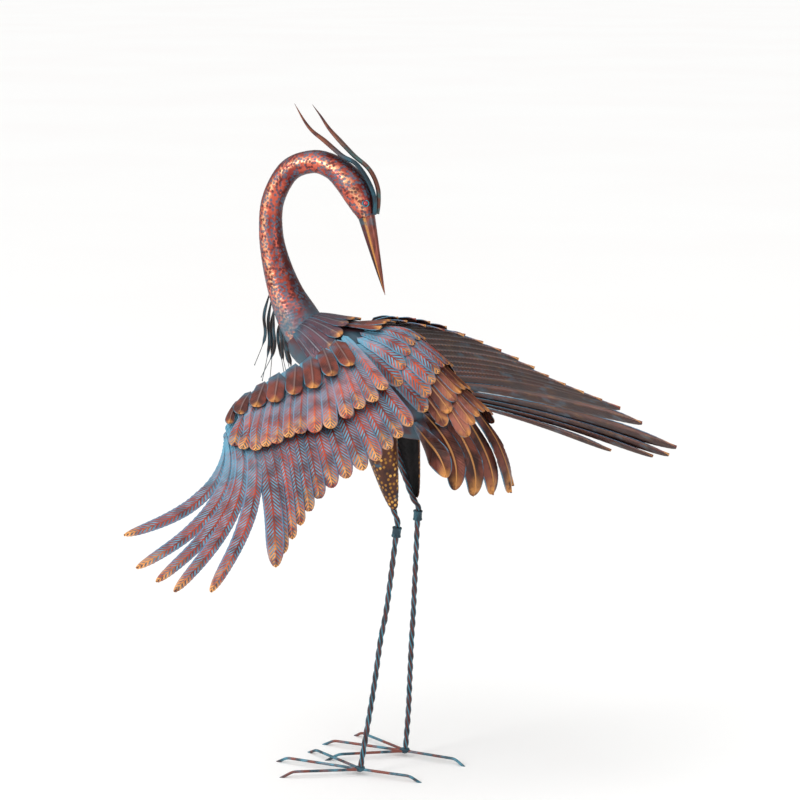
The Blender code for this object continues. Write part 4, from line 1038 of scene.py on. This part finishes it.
def build_back(paints):
    table = [row for row in catmull(TORSO, 48) if row[0] < PLUMAGE_END[0][0]]
    table = table + catmull(PLUMAGE_END, 12)
    looks = {"mantle_feathers": "mantle", "shoulder_feathers": "vane", "back_feathers": "covert",
             "lower_back_feathers": "covert", "rump_feathers": "brown", "tail_coverts": "brown"}
    steps = 16
    for name, root_x, tip_x, spread, count, lift, root_fan in BACK_ROWS:
        length = tip_x - root_x
        pitch = math.radians(2 * spread / count)
        shafts = []
        for i in range(count):
            angle = math.radians(-spread) + pitch * (i + 0.5)
            points = []
            ups = []
            halves = []
            for k in range(steps + 1):
                place = k / steps
                fan = root_fan + (1 - root_fan) * place
                x = root_x + length * place
                seat = BACK_SEAT + FEATHER_SHEET / MIL + lift * length * place
                point, up = body_point(x, angle * fan, seat, table)
                section = torso_section(x, table)
                points.append(point)
                ups.append(up)
                halves.append(((section[1] + section[2]) / 2 + seat) * pitch * fan * VANE_FILL * MIL)
            shafts.append({"points": points, "half_width": halves, "upward": ups, "tilt": VANE_TILT,
                           "lean": 0.0, "taper": 1.6, "tone": RANDOM.random()})
        sizes = {"barb_depth": 0.0002} if looks[name] != "covert" else {}
        plan = path_mesh(name + "_plan", shafts)
        mesh = grown(name + "_made", plan, "feather", paints[looks[name]], **sizes)
        mesh = thicken(mesh, FEATHER_SHEET, paints["under"], Vector((0, 0, 1)))
        finish_piece(name + "_plate", mesh, [name])


def build_tail(paints):
    table = catmull(TORSO, 48)
    steps = 24
    for prefix, blades, drop in (("tail_feather", TAIL, 0.0), ("under_tail_feather", TAIL_UNDER, 5.0)):
        for number, (root_x, angle, bend, tip) in enumerate(blades, 1):
            name = f"{prefix}_{number}"
            seat = (FEATHER_SHEET + WELD_GAP) / MIL + 0.5
            root, outward = body_point(root_x, math.radians(angle), seat - drop, table)
            knee = at(bend[0], tip[1] * TAIL_BEND, bend[1])
            tip = at(*tip)
            half = TAIL_HALF_WIDTH * MIL * (0.75 if drop else 1.0)
            points = []
            ups = []
            halves = []
            for k in range(steps + 1):
                place = k / steps
                centre = root.lerp(knee, place).lerp(knee.lerp(tip, place), place)
                tangent = ((knee - root).lerp(tip - knee, place)).normalized()
                away = (outward + TAIL_FACING * place).normalized()
                side = away.cross(tangent).normalized()
                up = tangent.cross(side).normalized()
                if up.dot(away) < 0:
                    up.negate()
                if not drop:
                    centre = centre + up * (number % 2) * TAIL_STAGGER * min(1.0, place * 2)
                points.append(centre)
                ups.append(up)
                halves.append(half * (0.5 + 0.5 * min(1.0, place * 2.2)))
            shaft = {"points": points, "half_width": halves, "upward": ups, "tilt": 0.0, "lean": 0.12,
                     "taper": 3.0, "tone": RANDOM.random()}
            mesh = grown(name + "_made", path_mesh(name + "_plan", [shaft]), "feather", paints["tail"],
                         barb_depth=0.0001, crown=0.0036, shaft_height=0.0009)
            mesh = thicken(mesh, FEATHER_SHEET, paints["under"], outward + Vector((0.6, 0, 0.3)))
            finish_piece(name + "_blade", mesh, [name])


def neck_rings(steps, sides, grow=0.0):
    sections = [(at(x, 0, z), r * MIL) for x, z, r in catmull(NECK, steps)]
    rings = []
    frames = []
    for k, (point, radius) in enumerate(sections):
        before = sections[max(k - 1, 0)][0]
        after = sections[min(k + 1, steps)][0]
        tangent = (after - before).normalized()
        nape = -Vector((0, 1, 0)).cross(tangent).normalized()
        frames.append((point, tangent, nape, radius))
        ring = []
        for s in range(sides):
            a = 2 * math.pi * s / sides
            ring.append(point + nape * (radius + grow) * math.cos(a)
                        + Vector((0, (radius + grow) * math.sin(a), 0)))
        rings.append(ring)
    return rings, frames


def build_head(paints):
    rings, frames = neck_rings(330, NECK_COLUMNS)
    mesh = skin("neck", rings)
    wash = mesh.attributes.new("wash", "FLOAT", "POINT")
    heights = np.empty(len(mesh.vertices) * 3, np.float32)
    mesh.vertices.foreach_get("co", heights)
    low = at(0, 0, 720).z
    run = 45 * MIL
    wash.data.foreach_set("value", np.clip((low - heights[2::3]) / run, 0, 1).astype(np.float32))
    # The first value below darkens the nape and the throat with painted shade; the second places a painted
    # highlight down each side of the tube
    turns = np.cos(2 * np.pi * (np.arange(len(mesh.vertices)) % NECK_COLUMNS) / NECK_COLUMNS)
    for key, many in (("edge", np.abs(turns)), ("streak", np.clip(1 - np.abs(turns - 0.22) / 0.42, 0, 1))):
        layer = mesh.attributes.new(key, "FLOAT", "POINT")
        layer.data.foreach_set("value", many.astype(np.float32))
    mesh = grown("neck_made", mesh, "hammer", paints["neck"])
    finish_piece("hammered_neck_and_head", mesh, ["neck_and_head"])

    base = at(BEAK_BASE[0], 0, BEAK_BASE[1])
    tip = at(BEAK_TIP[0], 0, BEAK_TIP[1])
    run = tip - base
    crown = Vector((-run.z, 0, run.x)).normalized()
    side = Vector((0, 1, 0))
    for name, way, share in (("upper_beak", 1, 1.0), ("lower_beak", -1, LOWER_BEAK_SHARE)):
        rings = []
        steps = 40
        sides = 24
        crease = []
        places = []
        for k in range(steps + 1):
            t = -0.06 + (share + 0.06) * k / steps
            size = float(np.interp(t, (-0.06, 0.0, 0.3, 0.7, share), (1.04, 1.0, 0.74, 0.36, 0.05)))
            ring = []
            for s in range(sides):
                a = math.pi * s / (sides - 1)
                # The facet meets the other beak in a crease, with a flat of its own between
                bulge = math.sin(a) ** 0.8
                y = BEAK_HALF_WIDTH * MIL * size * math.cos(a)
                depth = BEAK_HALF_DEPTH * MIL * size * bulge + 0.00012
                ring.append(base + run * t + side * y + crown * depth * way)
                crease.append(abs(math.cos(a)) ** 36)
                places.append(max(t, 0.0))
            rings.append(ring)
        mesh = skin(name, rings)
        for key, many in (("crease", crease), ("share", places)):
            layer = mesh.attributes.new(key, "FLOAT", "POINT")
            layer.data.foreach_set("value", np.array(many, np.float32))
        mesh.materials.append(paints[name])
        finish_piece(name + "_shell", mesh, [name])

    eye_at = at(EYE_PLACE[0], 0, EYE_PLACE[1])
    nearest = min(frames, key=lambda f: (f[0] - eye_at).length)
    offset = (eye_at - nearest[0]).dot(nearest[2])
    out = math.sqrt(nearest[3] ** 2 - offset ** 2)
    for name, way in (("left_eye", -1), ("right_eye", 1)):
        centre = eye_at + Vector((0, way * out, 0))
        outward = (centre - nearest[0]).normalized()
        turn = Vector((0, 0, 1)).rotation_difference(outward).to_matrix().to_4x4()
        turn.translation = centre
        ball = bmesh.new()
        bmesh.ops.create_uvsphere(ball, u_segments=32, v_segments=20, radius=EYE_DIAMETER / 2)
        bmesh.ops.transform(ball, matrix=turn, verts=ball.verts)
        mesh = bpy.data.meshes.new(name)
        ball.to_mesh(mesh)
        ball.free()
        mesh.shade_smooth()
        mesh.materials.append(paints["eye"])
        finish_piece(name + "_button", mesh, [name])
        rings = []
        for k in range(33):
            a = 2 * math.pi * k / 32
            ring = []
            for s in range(10):
                b = 2 * math.pi * s / 10
                r = EYE_DIAMETER / 2 + 0.0007 + 0.0010 * math.cos(b)
                ring.append(turn @ Vector((r * math.cos(a), r * math.sin(a), 0.0007 * math.sin(b) - 0.0002)))
            rings.append(ring)
        ring_mesh = skin(name + "_ring", rings)
        ring_mesh.materials.append(paints["eye_ring"])
        finish_piece(name + "_ring", ring_mesh, [])
    return frames


def build_crest(frames, paints):
    count = len(frames) - 1
    for side_name, way in (("left", -1), ("right", 1)):
        across = way * CREST_SIDE * MIL
        path = []
        for share, lift in CREST_SEAT[side_name]:
            point, tangent, crown, radius = frames[round(count * share)]
            seat = radius + CREST_HALF_THICKNESS + lift * MIL
            path.append(tuple(point + crown * seat + Vector((0, across, 0))))
        path += [tuple(at(*p)) for p in CREST_FREE[side_name]]
        steps = 60
        points = [Vector(p) for p in catmull(path, steps)]
        widths = []
        thicks = []
        for k in range(steps + 1):
            t = k / steps
            swell = 1 + 0.35 * math.sin(math.pi * min(max((t - 0.45) / 0.5, 0), 1))
            taper = min(1.0, (1 - t) / 0.34) ** 0.7
            widths.append(max(CREST_HALF_WIDTH * swell * taper * min(1, 0.5 + 3 * t), 0.0003))
            thicks.append(max(CREST_HALF_THICKNESS * taper, 0.0003))
        plan = path_mesh("crest_plan", [{"points": points, "upward": Vector((0, 1, 0)),
                                         "half_width": thicks, "half_height": widths}])
        mesh = grown(f"{side_name}_crest", plan, "bar", paints[f"{side_name}_crest"],
                     squareness=0.0, turn_length=1000.0, step=0.003)
        finish_piece(f"{side_name}_crest_strip", mesh, [f"{side_name}_crest_plume"])


def build_breast(frames, paints):
    steps = 32
    for number, (root_z, y, *hang) in enumerate(BREAST_PLUMES, 1):
        centre, _, _, radius = min(frames, key=lambda f: abs(f[0].z - root_z * MIL))
        reach = math.sqrt(radius ** 2 - (y * MIL) ** 2)
        root = Vector((centre.x - reach + 0.001, y * MIL + SHIFT.y, root_z * MIL))
        points = [Vector(p) for p in catmull([root] + [at(x, y, z) for x, z in hang], steps)]
        halves = []
        for k in range(steps + 1):
            place = k / steps
            share = min(1.0, 0.35 + 3 * place)
            share *= 1.0 if place < PLUME_LEAF else max(PLUME_WIRE, 1 - (place - PLUME_LEAF) * 9)
            halves.append(PLUME_HALF_WIDTH * share)
        shaft = {"points": points, "half_width": halves, "upward": Vector((0, -1, 0)), "tilt": 0.0,
                 "lean": 0.0, "taper": 6.0, "tone": RANDOM.random()}
        mesh = grown(f"plume_{number}", path_mesh("plume_plan", [shaft]), "feather", paints["plume"],
                     barb_depth=0.0, crown=0.0007, shaft_height=0.0, root_share=0.9, columns=7,
                     crown_run=0.010, barb_rake=0.4)
        mesh = thicken(mesh, PLUME_SHEET, paints["plume"], Vector((0, -1, 0)))
        finish_piece(f"breast_strip_{number}", mesh, [f"breast_plume_{number}"])


def build_torso(paints):
    rings = []
    for x, centre, half_height, half_width in catmull(TORSO, 70):
        rings.append([at(x, half_width * math.cos(a), centre + half_height * math.sin(a))
                      for a in [2 * math.pi * k / 64 for k in range(64)]])
    mesh = skin("torso", rings)
    mesh = grown("torso_made", mesh, "hammer", paints["torso"], **TORSO_MARKS)
    finish_piece("torso_shell", mesh, ["torso"])


def build_thigh(side_name, paints):
    way = LEGS[side_name]["side"]
    open_plane = 36 * MIL + LEG_BAR * math.sqrt(0.5) + WELD_GAP + THIGH_SHEET
    rings = []
    for x, z, half in catmull(THIGH, 90):
        row = []
        for k in range(57):
            a = math.pi * k / 56
            y = open_plane + half * MIL * THIGH_DEPTH_SHARE * math.sin(a)
            row.append(Vector((x * MIL + half * MIL * math.cos(a), way * y, z * MIL)) + SHIFT)
        rings.append(row)
    mesh = skin(side_name + "_thigh", rings, closed=False)
    facing = sum((f.normal * f.area for f in mesh.polygons), Vector())
    if facing.y * way < 0:
        mesh.flip_normals()
    mesh = grown(side_name + "_thigh_made", mesh, "hammer", paints["thigh"], seed=5 + way,
                 **THIGH_MARKS)
    mesh = thicken(mesh, THIGH_SHEET, paints["black"], Vector((0, way, 0)))
    finish_piece(side_name + "_thigh_shell", mesh, [side_name + "_thigh"])


def build_leg(side_name, paints):
    leg = LEGS[side_name]
    half = LEG_BAR / 2
    lower_path = [at(*p) for p in leg["lower"]]
    knee = at(*leg["knee"])
    axis = (knee - lower_path[1]).normalized()
    upper_path = [at(*p) for p in leg["upper"][:-1]]
    runs = (("upper_leg", upper_path + [knee + axis * KNEE_STRAIGHT, knee + axis * KNEE_GAP]),
            ("lower_leg", [knee - axis * KNEE_GAP, knee - axis * KNEE_STRAIGHT] + lower_path[1:]))
    for word, points in runs:
        points = [Vector(p) for p in catmull([tuple(p) for p in points], 90)]
        plan = path_mesh("leg_plan", [{"points": points, "upward": Vector((0, 1, 0)), "half_width": half,
                                       "half_height": half}])
        mesh = grown(f"{side_name}_{word}_bar", plan, "bar", paints["leg"], squareness=0.9, step=0.0022)
        finish_piece(f"{side_name}_{word}_twist", mesh, [f"{side_name}_{word}"])

    # Collar: a sleeve with a worn bead at each end
    inner = half * math.sqrt(2) + COLLAR_GAP
    outer = inner + COLLAR_WALL
    rim = outer + COLLAR_BEAD
    long = COLLAR_HALF_LENGTH
    half_profile = [(inner, long), (rim - 0.0004, long), (rim, long - 0.0006), (rim, long - 0.0022),
                    (outer, long - 0.0034)]
    profile = half_profile + [(r, -z) for r, z in reversed(half_profile)] + half_profile[:1]
    turn = Vector((0, 0, 1)).rotation_difference(axis).to_matrix().to_4x4()
    turn.translation = knee
    turns = [2 * math.pi * k / COLLAR_SIDES for k in range(COLLAR_SIDES)]
    rings = [[turn @ Vector((r * math.cos(a), r * math.sin(a), z)) for a in turns] for r, z in profile]
    mesh = skin("collar", rings, closed=True)
    cleaned = bmesh.new()
    cleaned.from_mesh(mesh)
    bmesh.ops.delete(cleaned, geom=[f for f in cleaned.faces if len(f.verts) > 4], context="FACES_ONLY")
    bmesh.ops.remove_doubles(cleaned, verts=cleaned.verts, dist=0.00001)
    bmesh.ops.recalc_face_normals(cleaned, faces=cleaned.faces)
    cleaned.to_mesh(mesh)
    cleaned.free()
    mesh.materials.append(paints["collar"])
    finish_piece(f"{side_name}_knee_sleeve", mesh, [f"{side_name}_knee_collar"])


def toe_points(points, round_over):
    """The rod's line with its bends rounded."""
    out = [points[0]]
    for before, bend, after in zip(points, points[1:], points[2:]):
        start = bend + (before - bend).normalized() * round_over
        end = bend + (after - bend).normalized() * round_over
        for k in range(9):
            t = k / 8
            out.append(start.lerp(bend, t).lerp(bend.lerp(end, t), t))
    out.append(points[-1])
    return out


def build_foot(side_name, paints):
    leg = LEGS[side_name]
    hub = at(*leg["foot"], TOE_HEIGHT)
    half = TOE_ROD / 2

    def toe_end(toe):
        straight_x, straight_y, tip_x, tip_y = leg[toe]
        straight = at(straight_x, straight_y, TOE_HEIGHT)
        tip = at(tip_x, tip_y, 0)
        return straight, tip + (tip - straight) * 0.35

    middle, middle_tip = toe_end("middle")
    hind, hind_tip = toe_end("hind")
    rods = {"middle_toe": [middle_tip, middle, hub, hind, hind_tip]}
    heading = (middle - hub).normalized()
    across = Vector((-heading.y, heading.x, 0))
    for toe in ("inner", "outer"):
        straight, past = toe_end(toe)
        way = 1 if (straight - hub).dot(across) > 0 else -1
        rods[f"{toe}_toe"] = [hub + across * way * half * 0.8, straight, past]
    for word, points in rods.items():
        line = toe_points(points, TOE_BEND)
        plan = path_mesh("toe_plan", [{"points": line, "upward": Vector((0, 0, 1)), "half_width": half,
                                       "half_height": half}])
        mesh = grown(f"{side_name}_{word}_rod", plan, "bar", paints["toe"], squareness=0.0,
                     turn_length=1000.0, step=0.0015)
        ground = bmesh.new()
        ground.from_mesh(mesh)
        parts = list(ground.verts) + list(ground.edges) + list(ground.faces)
        bmesh.ops.bisect_plane(ground, geom=parts, dist=0.0000001, plane_co=(0, 0, 0), plane_no=(0, 0, 1),
                               clear_inner=True)
        bmesh.ops.holes_fill(ground, edges=[e for e in ground.edges if e.is_boundary], sides=0)
        bmesh.ops.recalc_face_normals(ground, faces=ground.faces)
        ground.to_mesh(mesh)
        ground.free()
        finish_piece(f"{side_name}_{word}_wire", mesh, [f"{side_name}_{word}"])

    # The weld that holds leg and toes together
    bead = bmesh.new()
    bmesh.ops.create_icosphere(bead, subdivisions=4, radius=1.0)
    shaker = random.Random(3)
    lumps = [(Vector((shaker.uniform(-1, 1), shaker.uniform(-1, 1), shaker.uniform(-1, 1))).normalized(),
              shaker.uniform(0.06, 0.16)) for _ in range(14)]
    for vertex in bead.verts:
        way = vertex.co.normalized()
        swell = 1 + sum(size * max(0.0, way.dot(lump)) ** 12 for lump, size in lumps)
        vertex.co = way * WELD_BEAD * swell
    mesh = bpy.data.meshes.new("weld")
    bead.to_mesh(mesh)
    bead.free()
    mesh.transform(Matrix.Translation(hub + Vector((-0.001, 0, 0.001))))
    mesh.shade_smooth()
    mesh.materials.append(paints["collar"])
    finish_piece(f"{side_name}_foot_weld", mesh, [])


# Setting

def placed(name, data):
    item = bpy.data.objects.new(name, data)
    bpy.context.scene.collection.objects.link(item)
    return item


def build_setting():
    # Matt white sweep, its clouds so faint that only the soft shadow shows
    floor_paint = new_paint("pale_floor", 0.0, 0.85, (0.6, 0.3, 0.7, "#F5F5F4", "#F4F3F2"))[0]
    mesh = bpy.data.meshes.new("floor")
    corners = [(x * FLOOR_REACH, y * FLOOR_REACH, 0) for x, y in ((-1, -1), (1, -1), (1, 1), (-1, 1))]
    mesh.from_pydata(corners, [], [(0, 1, 2, 3)])
    mesh.materials.append(floor_paint)
    floor = placed("floor", mesh)

    bpy.context.scene.view_settings.view_transform = "Standard"
    world = bpy.data.worlds.new("studio")
    world.use_nodes = True
    world.node_tree.nodes["Background"].inputs["Color"].default_value = (1, 1, 1, 1)
    world.node_tree.nodes["Background"].inputs["Strength"].default_value = ROOM_LIGHT
    bpy.context.scene.world = world
    sun = bpy.data.lights.new("overhead_softbox", "SUN")
    sun.energy = OVERHEAD_POWER
    sun.angle = math.radians(OVERHEAD_SPREAD)
    placed("overhead_softbox", sun).rotation_euler = Vector(OVERHEAD_WAY).to_track_quat("-Z", "Y").to_euler()
    middle = SHIFT + Vector((0, 0, 0.6))
    for name, spot, size, power in SOFTBOXES:
        light = bpy.data.lights.new(name, "AREA")
        light.shape = "DISK"
        light.size = size
        light.energy = power
        lamp = placed(name, light)
        lamp.location = SHIFT + Vector(spot)
        lamp.rotation_euler = (middle - lamp.location).to_track_quat("-Z", "Y").to_euler()

    lens = bpy.data.cameras.new("camera")
    lens.lens = CAMERA_LENS
    lens.sensor_width = 36.0
    camera = placed("camera", lens)
    camera.location = SHIFT + Vector(CAMERA_PLACE)
    camera.rotation_euler = Euler([math.radians(a) for a in CAMERA_TURN], "XYZ")
    bpy.context.scene.camera = camera


RANDOM = random.Random(41)


def main():
    paints = {key: new_paint(*plan)[0] for key, plan in PLAIN_PAINTS.items()}
    paints["neck"] = hammered_copper_paint()
    # Ridge, hollow, groove and seam colours, then where the wash ends and the gold starts
    for key, plan in {
            "flight": ("#AC3F28", "#5E201C", "#5A9CB4", "#5482A0", 0.50, 0.80),
            "covert": ("#C24C2A", "#74261F", "#549EB8", "#4F8CA8", 0.66, 0.72)}.items():
        paints[key] = patina_feather_paint(key + "_patina_paint", *plan)
    # Base, dark and seam colours, pitch of the scribed barbs, colour of the shaft
    for key, plan in {
            "vane": ("#8A4030", "#4E241E", "#3F8098", FINE_PITCH, "#8A7470"),
            "mantle": ("#62404A", "#3C3440", "#3F6F84", FINE_PITCH, "#7C8088"),
            "brown": ("#A2604E", "#5C3028", "#3F86A0", FINE_PITCH, "#C08A5C"),
            "tail": ("#7E4334", "#3A1F1A", "#4C86A2", TAIL_PITCH, "#DE9C58")}.items():
        paints[key] = brown_vane_paint(key + "_bronze_paint", *plan)
    build_torso(paints)
    frames = build_head(paints)
    build_crest(frames, paints)
    build_breast(frames, paints)
    build_back(paints)
    build_tail(paints)
    for side in ("left", "right"):
        build_wing(side, paints)
        build_thigh(side, paints)
        build_leg(side, paints)
        build_foot(side, paints)
    build_setting()


main()
